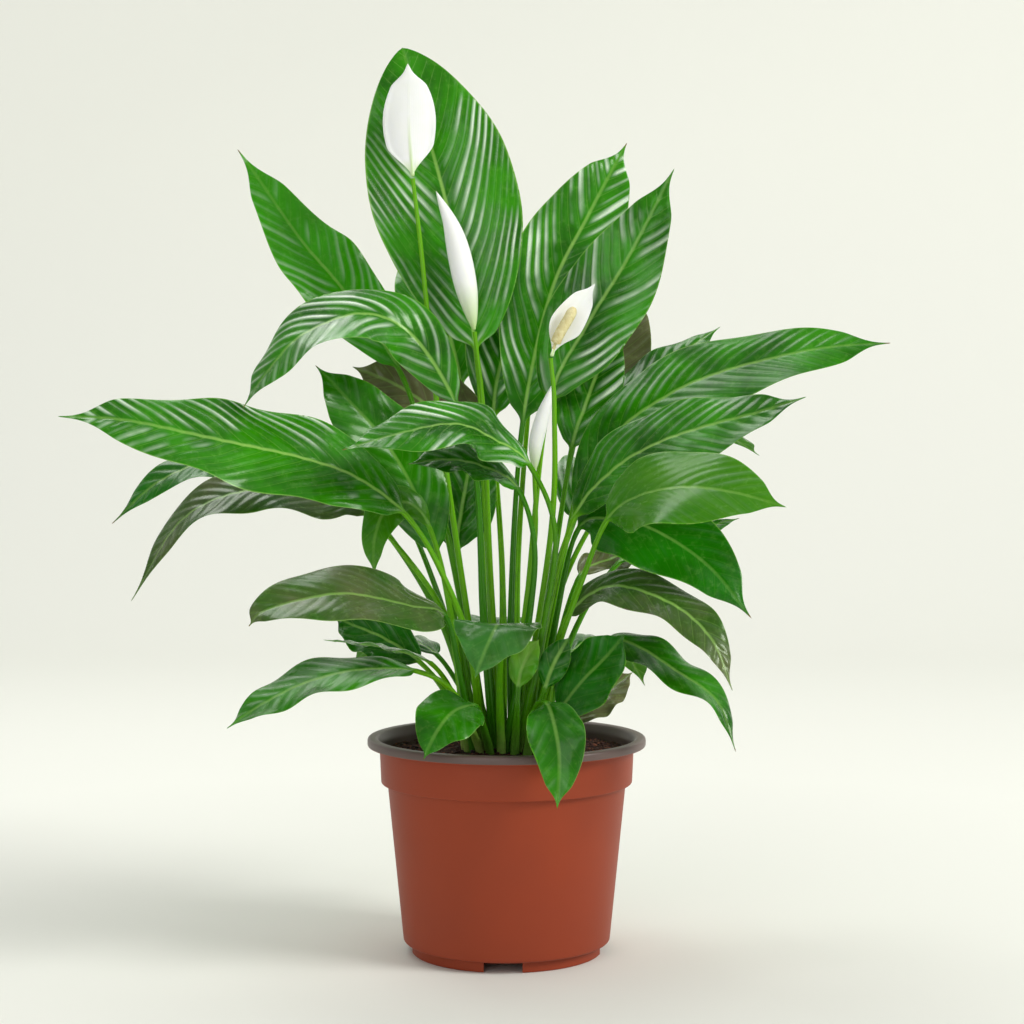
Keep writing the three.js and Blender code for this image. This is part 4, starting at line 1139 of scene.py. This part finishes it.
def crumb_skin(count):
    """Bark and peat crumbs that lie on the soil, each a squashed ball of twenty faces."""
    chance = random.Random("crumbs")
    made = bmesh.new()
    tint = made.verts.layers.float_vector.new("crumb")
    for _ in range(count):
        reach = (SOIL_RADIUS - 4 * MM) * math.sqrt(chance.random())
        angle = 2 * math.pi * chance.random()
        x, y = reach * math.cos(angle), reach * math.sin(angle)
        size = chance.uniform(0.6, 1.9) * MM * (1.7 if chance.random() < 0.12 else 1)
        shape = Matrix.Diagonal((size, size * chance.uniform(0.5, 1), size * chance.uniform(0.3, 0.7), 1))
        tilt = Matrix.Rotation(chance.uniform(0, 6.28), 4, "Z") @ Matrix.Rotation(
            chance.uniform(-0.6, 0.6), 4, "X"
        )
        rest = Matrix.Translation((x, y, soil_height(x, y) + 0.3 * size))
        ball = bmesh.ops.create_icosphere(made, subdivisions=1, radius=1, matrix=rest @ tilt @ shape)
        shade = chance.random()
        for vert in ball["verts"]:
            vert.co += Vector([chance.uniform(-0.12, 0.12) * size for _ in range(3)])
            vert[tint] = (shade, 0, 0)
    return made


def soil_material(name, first, second):
    """Moist peat: dark and crumbly, with damp darker patches."""
    material, add = new_material(name)
    where = add("ShaderNodeTexCoord")["Object"]
    lumps = add(NOISE, {"Vector": where, "Scale": 260.0, "Detail": 8.0, "Roughness": 0.7})[0]
    specks = add("ShaderNodeTexVoronoi", {"Vector": where, "Scale": 420.0})
    amount = add(RANGE, {0: lumps, 1: 0.4, 2: 0.7})[0]
    colour = add(MIX, {0: amount, 6: first, 7: second}, data_type="RGBA")[2]
    bits = add(SPLIT, {0: specks["Color"]})[0]
    amount = add(RANGE, {0: bits, 1: 0.78, 2: 0.86, 3: 0.0, 4: 0.8})[0]
    colour = add(MIX, {0: amount, 6: colour, 7: linear("#7A4630")}, data_type="RGBA")[2]
    inputs = {
        "Base Color": colour,
        "Roughness": 0.92,
        "Specular IOR Level": 0.25,
        "Normal": add(BUMP, {"Height": lumps, "Strength": 1.0, "Distance": 0.0015})[0],
    }
    add(OUTPUT, {0: add(PRINCIPLED, inputs)[0]})
    return material


def crumb_material(name):
    """Bark and peat crumbs in three browns."""
    material, add = new_material(name)
    shade = add(SPLIT, {0: add(VALUES, attribute_name="crumb")[1]})[0]
    first, second, third = (linear(code) for code in CRUMB_COLOURS)
    amount = add(RANGE, {0: shade, 1: 0.45, 2: 0.6})[0]
    colour = add(MIX, {0: amount, 6: first, 7: third}, data_type="RGBA")[2]
    amount = add(RANGE, {0: shade, 1: 0.78, 2: 0.84})[0]
    colour = add(MIX, {0: amount, 6: colour, 7: second}, data_type="RGBA")[2]
    where = add("ShaderNodeTexCoord")["Object"]
    grain = add(NOISE, {"Vector": where, "Scale": 1400.0, "Detail": 3.0})[0]
    inputs = {
        "Base Color": colour,
        "Roughness": 0.88,
        "Normal": add(BUMP, {"Height": grain, "Strength": 0.8, "Distance": 0.0004})[0],
    }
    add(OUTPUT, {0: add(PRINCIPLED, inputs)[0]})
    return material


# ---- materials of the plant ----------------------------------------------------------------


def leaf_material(name, upper, second, lower, highlight_strength, settings):
    """A leaf's skin: glossy above with streaky painted highlights, and paler and duller beneath.

    Its fifth argument is how strong the painted highlights are, and 0 for none.
    """
    material, add = new_material(name)
    away, _, side = add(SPLIT, {0: add(VALUES, attribute_name="leaf_place")[1]})
    out, along, stem = add(SPLIT, {0: add(VALUES, attribute_name="leaf_share")[1]})
    veins, seed, veined = add(SPLIT, {0: add(VALUES, attribute_name="leaf_vein")[1]})
    where = add("ShaderNodeTexCoord")["Object"]
    height = add(SPLIT, {0: where})[2]
    patches = add(NOISE, {"Vector": where, "Scale": 22.0, "Detail": 4.0})[0]
    mottle = add(NOISE, {"Vector": where, "Scale": 160.0, "Detail": 3.0})[0]
    grain = add(NOISE, {"Vector": where, "Scale": 1500.0, "Detail": 2.0})[0]
    vein_green = rgba(settings.vein)

    # Side veins, fainter towards the margin, and the midrib, fainter towards the tip.
    from_vein = add(MATH, {0: veins, 1: 0.5}, operation="PINGPONG")[0]
    line = add(RANGE, {0: from_vein, 1: 0.0, 2: 0.06, 3: 1.0, 4: 0.0})[0]
    fade = add(RANGE, {0: out, 1: 0.7, 2: 1.0, 3: 1.0, 4: 0.2})[0]
    line = add(MATH, {0: line, 1: fade}, operation="MULTIPLY")[0]
    line = add(MATH, {0: line, 1: veined}, operation="MULTIPLY")[0]
    midrib = add(RANGE, {0: away, 1: 0.7 * MM, 2: 2.1 * MM, 3: 1.0, 4: 0.0})[0]
    fade = add(RANGE, {0: along, 1: 0.5, 2: 1.0, 3: 0.6, 4: 0.1})[0]
    midrib = add(MATH, {0: midrib, 1: fade}, operation="MULTIPLY")[0]
    fade = add(RANGE, {0: veined, 3: 0.25, 4: 1.0})[0]
    midrib = add(MATH, {0: midrib, 1: fade}, operation="MULTIPLY")[0]

    # The upper side: two greens in patches, a faint mottle, then the veins.
    amount = add(RANGE, {0: patches, 1: 0.35, 2: 0.68})[0]
    tone = add(MIX, {0: amount, 6: rgba(upper), 7: rgba(second)}, data_type="RGBA")[2]
    amount = add(RANGE, {0: mottle, 1: 0.5, 2: 0.8, 3: 0.0, 4: 0.08})[0]
    tone = add(MIX, {0: amount, 6: tone, 7: vein_green}, data_type="RGBA")[2]
    amount = add(MATH, {0: line, 1: 0.16}, operation="MULTIPLY")[0]
    tone = add(MIX, {0: amount, 6: tone, 7: vein_green}, data_type="RGBA")[2]

    # A painted highlight: a pale stripe on one flank of each swelling, where light would glint, which
    # comes and goes; then the midrib and a thin pale margin.
    flank = add(MATH, {0: veins}, operation="FRACT")[0]
    count = add(MATH, {0: veins}, operation="FLOOR")[0]
    count = add(MATH, {0: seed, 1: 71.0, 2: count}, operation="MULTIPLY_ADD")[0]
    luck = add("ShaderNodeTexWhiteNoise", {"W": count}, noise_dimensions="1D")[0]
    painted_highlight = add(RANGE, {0: flank, 1: 0.08, 2: 0.3})[0]
    far = add(RANGE, {0: luck, 3: 0.4, 4: 0.8})[0]
    ebb = add(RANGE, {0: flank, 1: 0.3, 2: far, 3: 1.0, 4: 0.0})[0]
    painted_highlight = add(MATH, {0: painted_highlight, 1: ebb}, operation="MULTIPLY")[0]
    strength = add(RANGE, {0: luck, 1: 0.15, 2: 0.9, 3: 0.15, 4: 1.0})[0]
    painted_highlight = add(MATH, {0: painted_highlight, 1: strength}, operation="MULTIPLY")[0]
    painted_highlight = add(MATH, {0: painted_highlight, 1: veined}, operation="MULTIPLY")[0]
    places = add(NOISE, {"Vector": where, "Scale": 11.0, "Detail": 3.0})[0]
    amount = add(RANGE, {0: places, 1: 0.42, 2: 0.62, 3: 0.0, 4: highlight_strength})[0]
    painted_highlight = add(MATH, {0: painted_highlight, 1: amount}, operation="MULTIPLY")[0]
    inner = add(RANGE, {0: out, 1: 0.08, 2: 0.3})[0]
    painted_highlight = add(MATH, {0: painted_highlight, 1: inner}, operation="MULTIPLY")[0]
    # The near-white green of the painted highlight.
    tone = add(MIX, {0: painted_highlight, 6: tone, 7: linear("#E4F5DE")}, data_type="RGBA")[2]
    tone = add(MIX, {0: midrib, 6: tone, 7: vein_green}, data_type="RGBA")[2]
    margin = add(RANGE, {0: out, 1: 0.97, 2: 1.0, 3: 0.0, 4: 0.45})[0]
    tone = add(MIX, {0: margin, 6: tone, 7: vein_green}, data_type="RGBA")[2]

    # The underside: one paler green with raised veins that show more.
    amount = add(MATH, {0: line, 1: 0.4}, operation="MULTIPLY")[0]
    under = add(MIX, {0: amount, 6: rgba(lower), 7: vein_green}, data_type="RGBA")[2]
    under = add(MIX, {0: midrib, 6: under, 7: vein_green}, data_type="RGBA")[2]
    above = add(RANGE, {0: side, 1: -0.3, 2: 0.3})[0]
    colour = add(MIX, {0: above, 6: under, 7: tone}, data_type="RGBA")[2]

    # A dry brown drip tip on some leaves.
    dry = add(RANGE, {0: along, 1: 0.975, 2: 0.992})[0]
    old = add(RANGE, {0: seed, 1: 0.45, 2: 0.6})[0]
    amount = add(MATH, {0: dry, 1: old}, operation="MULTIPLY")[0]
    colour = add(MIX, {0: amount, 6: colour, 7: linear("#7A5B2C")}, data_type="RGBA")[2]

    # The petiole, whitish where it leaves the soil.
    low = add(RANGE, {0: height, 1: SOIL_LEVEL, 2: SOIL_LEVEL + 30 * MM})[0]
    inputs = {0: low, 6: linear("#A8B866"), 7: rgba(settings.petiole)}
    stalk = add(MIX, inputs, data_type="RGBA")[2]
    amount = add(RANGE, {0: mottle, 1: 0.45, 2: 0.75, 3: 0.0, 4: 0.3})[0]
    stalk = add(MIX, {0: amount, 6: stalk, 7: rgba(upper)}, data_type="RGBA")[2]
    amount = add(RANGE, {0: seed, 1: 0.15, 2: 0.9, 3: 0.1, 4: 0.9})[0]
    stalk = add(MIX, {0: amount, 6: stalk, 7: linear("#267000")}, data_type="RGBA")[2]
    colour = add(MIX, {0: stem, 6: colour, 7: stalk}, data_type="RGBA")[2]

    dull = add(RANGE, {0: side, 1: -0.3, 2: 0.3, 3: 0.5, 4: 0.2})[0]
    dull = add(MATH, {0: mottle, 1: 0.12, 2: dull}, operation="MULTIPLY_ADD")[0]
    fine = add(MATH, {0: veins, 1: 1 / 14}, operation="PINGPONG")[0]
    relief = add(MATH, {0: fine, 1: 8.0, 2: grain}, operation="MULTIPLY_ADD")[0]
    inputs = {
        "Base Color": colour,
        "Roughness": dull,
        "Normal": add(BUMP, {"Height": relief, "Strength": 0.35, "Distance": 0.0002})[0],
        "Coat Weight": add(MATH, {0: above, 1: 0.36}, operation="MULTIPLY")[0],
        "Coat Roughness": 0.17,
        "Specular IOR Level": 0.2,
        "Specular Tint": linear("#C8F0A8"),
        "Subsurface Weight": 0.12,
        "Subsurface Radius": (0.6, 1.0, 0.2),
        "Subsurface Scale": 0.0012,
    }
    add(OUTPUT, {0: add(PRINCIPLED, inputs)[0]})
    return material


def spathe_material(name, green_foot, settings):
    """A spathe's skin: waxy white with a green midrib, a green foot and a green tip.

    green_foot is the share of its length over which the green of its foot fades out.
    """
    material, add = new_material(name)
    _, along, away = add(SPLIT, {0: add(VALUES, attribute_name="petal_place")[1]})
    where = add("ShaderNodeTexCoord")["Object"]
    cloud = add(NOISE, {"Vector": where, "Scale": 90.0, "Detail": 3.0})[0]
    foot = add(RANGE, {0: along, 1: 0.0, 2: green_foot, 3: 0.9, 4: 0.0})[0]
    tip = add(RANGE, {0: along, 1: 0.97, 2: 1.0, 3: 0.0, 4: 0.5})[0]
    stripe = add(RANGE, {0: away, 1: 0.3 * MM, 2: 2.2 * MM, 3: 1.0, 4: 0.0})[0]
    fade = add(RANGE, {0: along, 1: 0.05, 2: 0.5, 3: 0.8, 4: 0.05})[0]
    stripe = add(MATH, {0: stripe, 1: fade}, operation="MULTIPLY")[0]
    green = add(MATH, {0: foot, 1: stripe}, operation="MAXIMUM")[0]
    green = add(MATH, {0: green, 1: tip}, operation="MAXIMUM")[0]
    amount = add(RANGE, {0: cloud, 1: 0.4, 2: 0.7, 3: 0.0, 4: 0.35})[0]
    inputs = {0: amount, 6: rgba(settings.white), 7: linear("#F6F8F0")}
    white = add(MIX, inputs, data_type="RGBA")[2]
    colour = add(MIX, {0: green, 6: white, 7: rgba(settings.green)}, data_type="RGBA")[2]
    lines = add(MATH, {0: away, 1: 0.0008}, operation="PINGPONG")[0]
    relief = add(MATH, {0: lines, 1: 900.0, 2: cloud}, operation="MULTIPLY_ADD")[0]
    inputs = {
        "Base Color": colour,
        "Roughness": 0.46,
        "Normal": add(BUMP, {"Height": relief, "Strength": 0.3, "Distance": 0.0002})[0],
        "Subsurface Weight": 0.25,
        "Subsurface Radius": (1.0, 1.0, 0.7),
        "Subsurface Scale": 0.002,
    }
    add(OUTPUT, {0: add(PRINCIPLED, inputs)[0]})
    return material


def grained_material(name, first, second, drift, grain, roughness, depth, shine=0.4):
    """A surface whose colour drifts between two tones, with a fine grain.

    drift, grain and depth are the sizes, in metres, of the drift, the grain and its relief.
    """
    material, add = new_material(name)
    where = add("ShaderNodeTexCoord")["Object"]
    wide = add(NOISE, {"Vector": where, "Scale": 1 / drift, "Detail": 5.0})[0]
    fine = add(NOISE, {"Vector": where, "Scale": 1 / grain, "Detail": 3.0})[0]
    amount = add(RANGE, {0: wide, 1: 0.35, 2: 0.65})[0]
    inputs = {
        "Base Color": add(MIX, {0: amount, 6: first, 7: second}, data_type="RGBA")[2],
        "Roughness": add(RANGE, {0: fine, 3: roughness - 0.07, 4: roughness + 0.07})[0],
        "Normal": add(BUMP, {"Height": fine, "Strength": 0.6, "Distance": depth})[0],
        "Specular IOR Level": shine,
    }
    add(OUTPUT, {0: add(PRINCIPLED, inputs)[0]})
    return material


# ---- the floor, the light and the camera ---------------------------------------------------

WORLD_LIGHT = 0.4
KEY_POWER = 215.0
TOP_POWER = 20.0
FILL_POWER = 30.0
WASH_POWER = 9.0
FAR_GLOW = 0.13  # how much the backdrop lights itself, away from the pot
VIEW_OFFSET = 4.7 * MM  # from the pot's axis to the middle of the view
SWEEP_FRONT = -4.0  # the floor's front edge, told from the pot
SWEEP_DEPTH = 2.4  # from the pot back to where the floor begins to bend up
SWEEP_RADIUS = 1.2
SWEEP_TOP = 4.5
SWEEP_WIDTH = 9.0


def sweep_skin():
    """A floor that bends up into a backdrop behind the plant."""
    made = bmesh.new()
    bmesh.ops.create_grid(made, x_segments=2, y_segments=60, size=0.5)
    for vert in made.verts:
        along = (vert.co.y + 0.5) * 3  # 0 to 1 on the floor, to 2 round the bend, to 3 up
        x = vert.co.x * SWEEP_WIDTH
        if along <= 1:
            vert.co = Vector((x, mix(SWEEP_FRONT, SWEEP_DEPTH, along), 0))
        elif along <= 2:
            angle = (along - 1) * math.pi / 2
            forward = SWEEP_DEPTH + SWEEP_RADIUS * math.sin(angle)
            vert.co = Vector((x, forward, SWEEP_RADIUS * (1 - math.cos(angle))))
        else:
            up = mix(SWEEP_RADIUS, SWEEP_TOP, along - 2)
            vert.co = Vector((x, SWEEP_DEPTH + SWEEP_RADIUS, up))
    return made


def area_light(name, place, aim, size, power, tint):
    """A soft square light at a place, turned towards a point."""
    lamp = bpy.data.lights.new(name, "AREA")
    lamp.size = size
    lamp.energy = power
    lamp.color = tint
    light = bpy.data.objects.new(name, lamp)
    light.location = place
    light.rotation_euler = (Vector(aim) - Vector(place)).to_track_quat("-Z", "Y").to_euler()
    bpy.context.scene.collection.objects.link(light)


def build_stage(scene):
    """A pale sweep, a soft key light from the right, three weaker lights and the camera."""
    settings = scene.peace_lily_stage
    mesh = bpy.data.meshes.new("sweep")
    skin = sweep_skin()
    skin.to_mesh(mesh)
    skin.free()
    mesh.shade_smooth()
    # Matt painted board.
    material, add = new_material("Pale painted backdrop")
    backdrop = rgba(settings.backdrop)
    where = add("ShaderNodeTexCoord")["Object"]
    reach = add("ShaderNodeVectorMath", {0: where}, operation="LENGTH")["Value"]
    inputs = {
        "Base Color": backdrop,
        "Roughness": 0.95,
        "Emission Color": backdrop,
        "Emission Strength": add(RANGE, {0: reach, 1: 0.15, 2: 1.0, 4: FAR_GLOW})[0],
    }
    add(OUTPUT, {0: add(PRINCIPLED, inputs)[0]})
    mesh.materials.append(material)
    sweep = bpy.data.objects.new("sweep", mesh)
    scene.collection.objects.link(sweep)

    middle = (0, 0, 0.35)
    area_light("key", (4.3, -1.9, 3.4), middle, 2.2, KEY_POWER, (1.0, 0.99, 0.97))
    area_light("top", (-0.7, 1.1, 2.6), middle, 1.3, TOP_POWER, (1.0, 1.0, 0.99))
    area_light("fill", (-1.3, -3.6, 1.5), middle, 2.4, FILL_POWER, (0.97, 0.98, 1.0))
    area_light("wash", (-2.9, 0.9, 1.9), (-1.0, 3.6, 0.9), 1.6, WASH_POWER, (1.0, 1.0, 1.0))
    world = bpy.data.worlds.new("Studio")
    world.use_nodes = True
    world.node_tree.nodes.clear()
    light = {"Color": (1.0, 1.0, 0.985, 1.0), "Strength": WORLD_LIGHT}
    background = add_node(world.node_tree, "ShaderNodeBackground", light)[0]
    add_node(world.node_tree, "ShaderNodeOutputWorld", {0: background})
    scene.world = world
    scene.view_settings.view_transform = "Standard"

    camera = bpy.data.cameras.new("camera")
    camera.sensor_width = 36
    camera.lens = settings.lens
    camera.clip_end = 30
    view = bpy.data.objects.new("camera", camera)
    view.location = (VIEW_OFFSET, -settings.distance, settings.eye_height)
    aim = Vector((VIEW_OFFSET, 0, settings.aim_height))
    view.rotation_euler = (aim - view.location).to_track_quat("-Z", "Y").to_euler()
    scene.collection.objects.link(view)
    scene.camera = view


# ---- building the pieces -------------------------------------------------------------------


def build_pot(settings):
    """The nursery pot as one moulding in two colours."""
    # Injection-moulded polypropylene with a satin surface.
    outer = grained_material(
        "Terracotta polypropylene, satin", rgba(settings.outside), linear("#8E3A20"),
        drift=0.12, grain=0.0009, roughness=0.5, depth=0.00006, shine=0.25,
    )
    # The same plastic in dark brown, on the inside and on the lip.
    inner = grained_material(
        "Dark brown polypropylene, satin", rgba(settings.inside), linear("#4E3E39"),
        drift=0.12, grain=0.0009, roughness=0.42, depth=0.00006, shine=0.5,
    )
    points, seam = pot_outline(settings)
    skin = cut(turned_skin(points, POT_STEPS), cutters())
    ring = skin.verts.layers.float_vector["turned_ring"]
    for face in skin.faces:
        middle = sum(vert[ring].x for vert in face.verts) / len(face.verts)
        face.material_index = 1 if middle > seam / (len(points) - 1) else 0
    finish_piece("nursery_pot_moulding", skin, [outer, inner], ["nursery_pot"], 32)


def build_soil(settings):
    """The soil, and the crumbs that lie on it."""
    # Moist peat-based potting mix, matt.
    damp = soil_material("Moist peat, matt", rgba(settings.soil), linear("#1B0E0A"))
    finish_piece("soil_surface", soil_skin(), [damp], ["potting_soil"], 60)
    # Composted bark and peat crumbs, matt.
    bits = crumb_material("Bark and peat crumbs, matt")
    finish_piece("soil_crumbs", crumb_skin(settings.crumbs), [bits])


def build_leaves(settings):
    """Every leaf, each a single skin in one of ten tones."""
    bright, deep, pale, olive = settings.bright, settings.deep, settings.pale, settings.olive
    fresh = linear("#37A000")[:3]
    shade = linear("#187202")[:3]
    straw = linear("#726F4C")[:3]
    lime = linear("#7DB63A")[:3]
    dusk = linear("#2C5A10")[:3]
    smoke = linear("#56603A")[:3]
    grey = linear("#3B7A32")[:3]
    light = linear("#448605")[:3]
    glow = linear("#2C7400")[:3]
    # Living leaf with a waxy cuticle, glossy above and satin beneath.
    tones = {
        # The number before settings is how strong the painted highlights are: most on the streaked and
        # striped leaves.
        "streaked": leaf_material("Leaf with streaky painted highlights, glossy", bright, deep, pale, 1.4, settings),
        "striped": leaf_material("Leaf with strong streaky painted highlights, glossy", deep, bright, pale, 2.2, settings),
        "bright": leaf_material("Fresh green leaf, glossy", bright, fresh, pale, 0.6, settings),
        "mid": leaf_material("Green leaf, glossy", deep, bright, pale, 0.6, settings),
        "deep": leaf_material("Dark green leaf, glossy", deep, shade, pale, 0.2, settings),
        # The olive tone is painted shade on both sides, for leaves whose undersides are seen in shade.
        "olive": leaf_material("Olive leaf in painted shade, satin", olive, straw, olive, 0.15, settings),
        "light": leaf_material("Light green leaf, satin", light, glow, pale, 0.2, settings),
        "dusky": leaf_material("Dusky leaf, satin", dusk, smoke, olive, 0.1, settings),
        "greyish": leaf_material("Greyish green leaf, satin", grey, dusk, pale, 0.1, settings),
        "young": leaf_material("Young leaf, glossy", lime, fresh, lime, 0.2, settings),
    }
    for name, leaf in LEAVES.items():
        skin = leaf_skin(name, leaf, settings)
        finish_piece(name + "_skin", skin, [tones[leaf["tone"]]], [name], 60)


def build_flowers(settings, leaf_settings):
    """The flower stalks, spathes and spadices."""
    # Fresh green stalk, satin.
    fresh = leaf_settings.petiole
    green = leaf_material("Green stalk, satin", fresh, fresh, fresh, 0.0, leaf_settings)
    # White petal-like leaf with a waxy bloom.
    white = spathe_material("White spathe, waxy", 0.14, settings)
    rolled = spathe_material("Rolled white spathe, waxy", 0.34, settings)
    # Packed florets, matt and slightly mealy.
    cream = grained_material(
        "Spadix florets, matt", rgba(settings.cream), linear("#D8C98C"),
        drift=0.004, grain=0.0005, roughness=0.7, depth=0.0002,
    )
    for name, flower in FLOWERS.items():
        stalk = name + "_stalk"
        skin = stalk_skin(flower, settings)
        finish_piece(stalk + "_skin", skin, [green], [stalk])
        spathe = name + "_spathe"
        if "cup" in flower:
            skin, look = open_spathe_skin(spathe, flower, settings), white
        else:
            skin, look = rolled_spathe_skin(flower, settings), rolled
        finish_piece(spathe + "_skin", skin, [look], [spathe], 60)
        if "spadix" in flower:
            spadix = name + "_spadix"
            skin = spadix_skin(flower, settings)
            finish_piece(spadix + "_skin", skin, [cream], [spadix])


# ---- the add-on ----------------------------------------------------------------------------


class PEACELILY_OT_pot(bpy.types.Operator):
    """Models the two-colour nursery pot"""

    bl_idname = "peace_lily.pot"
    bl_label = "Nursery pot"

    def execute(self, context):
        build_pot(context.scene.peace_lily_pot)
        return {"FINISHED"}


class PEACELILY_OT_soil(bpy.types.Operator):
    """Models the potting soil and its crumbs"""

    bl_idname = "peace_lily.soil"
    bl_label = "Potting soil"

    def execute(self, context):
        build_soil(context.scene.peace_lily_pot)
        return {"FINISHED"}


class PEACELILY_OT_leaves(bpy.types.Operator):
    """Models the leaves"""

    bl_idname = "peace_lily.leaves"
    bl_label = "Leaves"

    def execute(self, context):
        build_leaves(context.scene.peace_lily_leaves)
        return {"FINISHED"}


class PEACELILY_OT_flowers(bpy.types.Operator):
    """Models the flowers and buds"""

    bl_idname = "peace_lily.flowers"
    bl_label = "Flowers"

    def execute(self, context):
        build_flowers(context.scene.peace_lily_flowers, context.scene.peace_lily_leaves)
        return {"FINISHED"}


class PEACELILY_OT_stage(bpy.types.Operator):
    """Sets up the floor, the light and the camera"""

    bl_idname = "peace_lily.stage"
    bl_label = "Studio stage"

    def execute(self, context):
        build_stage(context.scene)
        return {"FINISHED"}


class PEACELILY_PT_panel(bpy.types.Panel):
    """Lists the pieces of the plant and their settings"""

    bl_idname = "PEACELILY_PT_panel"
    bl_label = "Potted peace lily"
    bl_space_type = "VIEW_3D"
    bl_region_type = "UI"
    bl_category = "Peace Lily"

    def draw(self, context):
        for operator in OPERATORS:
            self.layout.operator(operator.bl_idname)
        for attribute, settings in SETTINGS.items():
            box = self.layout.box()
            for key in settings.__annotations__:
                box.prop(getattr(context.scene, attribute), key)


OPERATORS = (
    PEACELILY_OT_pot,
    PEACELILY_OT_soil,
    PEACELILY_OT_leaves,
    PEACELILY_OT_flowers,
    PEACELILY_OT_stage,
)
SETTINGS = {
    "peace_lily_pot": PotSettings,
    "peace_lily_leaves": LeafSettings,
    "peace_lily_flowers": FlowerSettings,
    "peace_lily_stage": StageSettings,
}


def register():
    for settings_class in SETTINGS.values():
        bpy.utils.register_class(settings_class)
    for name, settings_class in SETTINGS.items():
        setattr(bpy.types.Scene, name, bpy.props.PointerProperty(type=settings_class))
    for panel_class in (*OPERATORS, PEACELILY_PT_panel):
        bpy.utils.register_class(panel_class)


def unregister():
    for panel_class in (PEACELILY_PT_panel, *reversed(OPERATORS)):
        bpy.utils.unregister_class(panel_class)
    for name, settings_class in SETTINGS.items():
        delattr(bpy.types.Scene, name)
        bpy.utils.unregister_class(settings_class)


def main():
    """Builds every piece."""
    register()
    bpy.ops.peace_lily.pot()
    bpy.ops.peace_lily.soil()
    bpy.ops.peace_lily.leaves()
    bpy.ops.peace_lily.flowers()
    bpy.ops.peace_lily.stage()


if __name__ == "__main__":
    main()
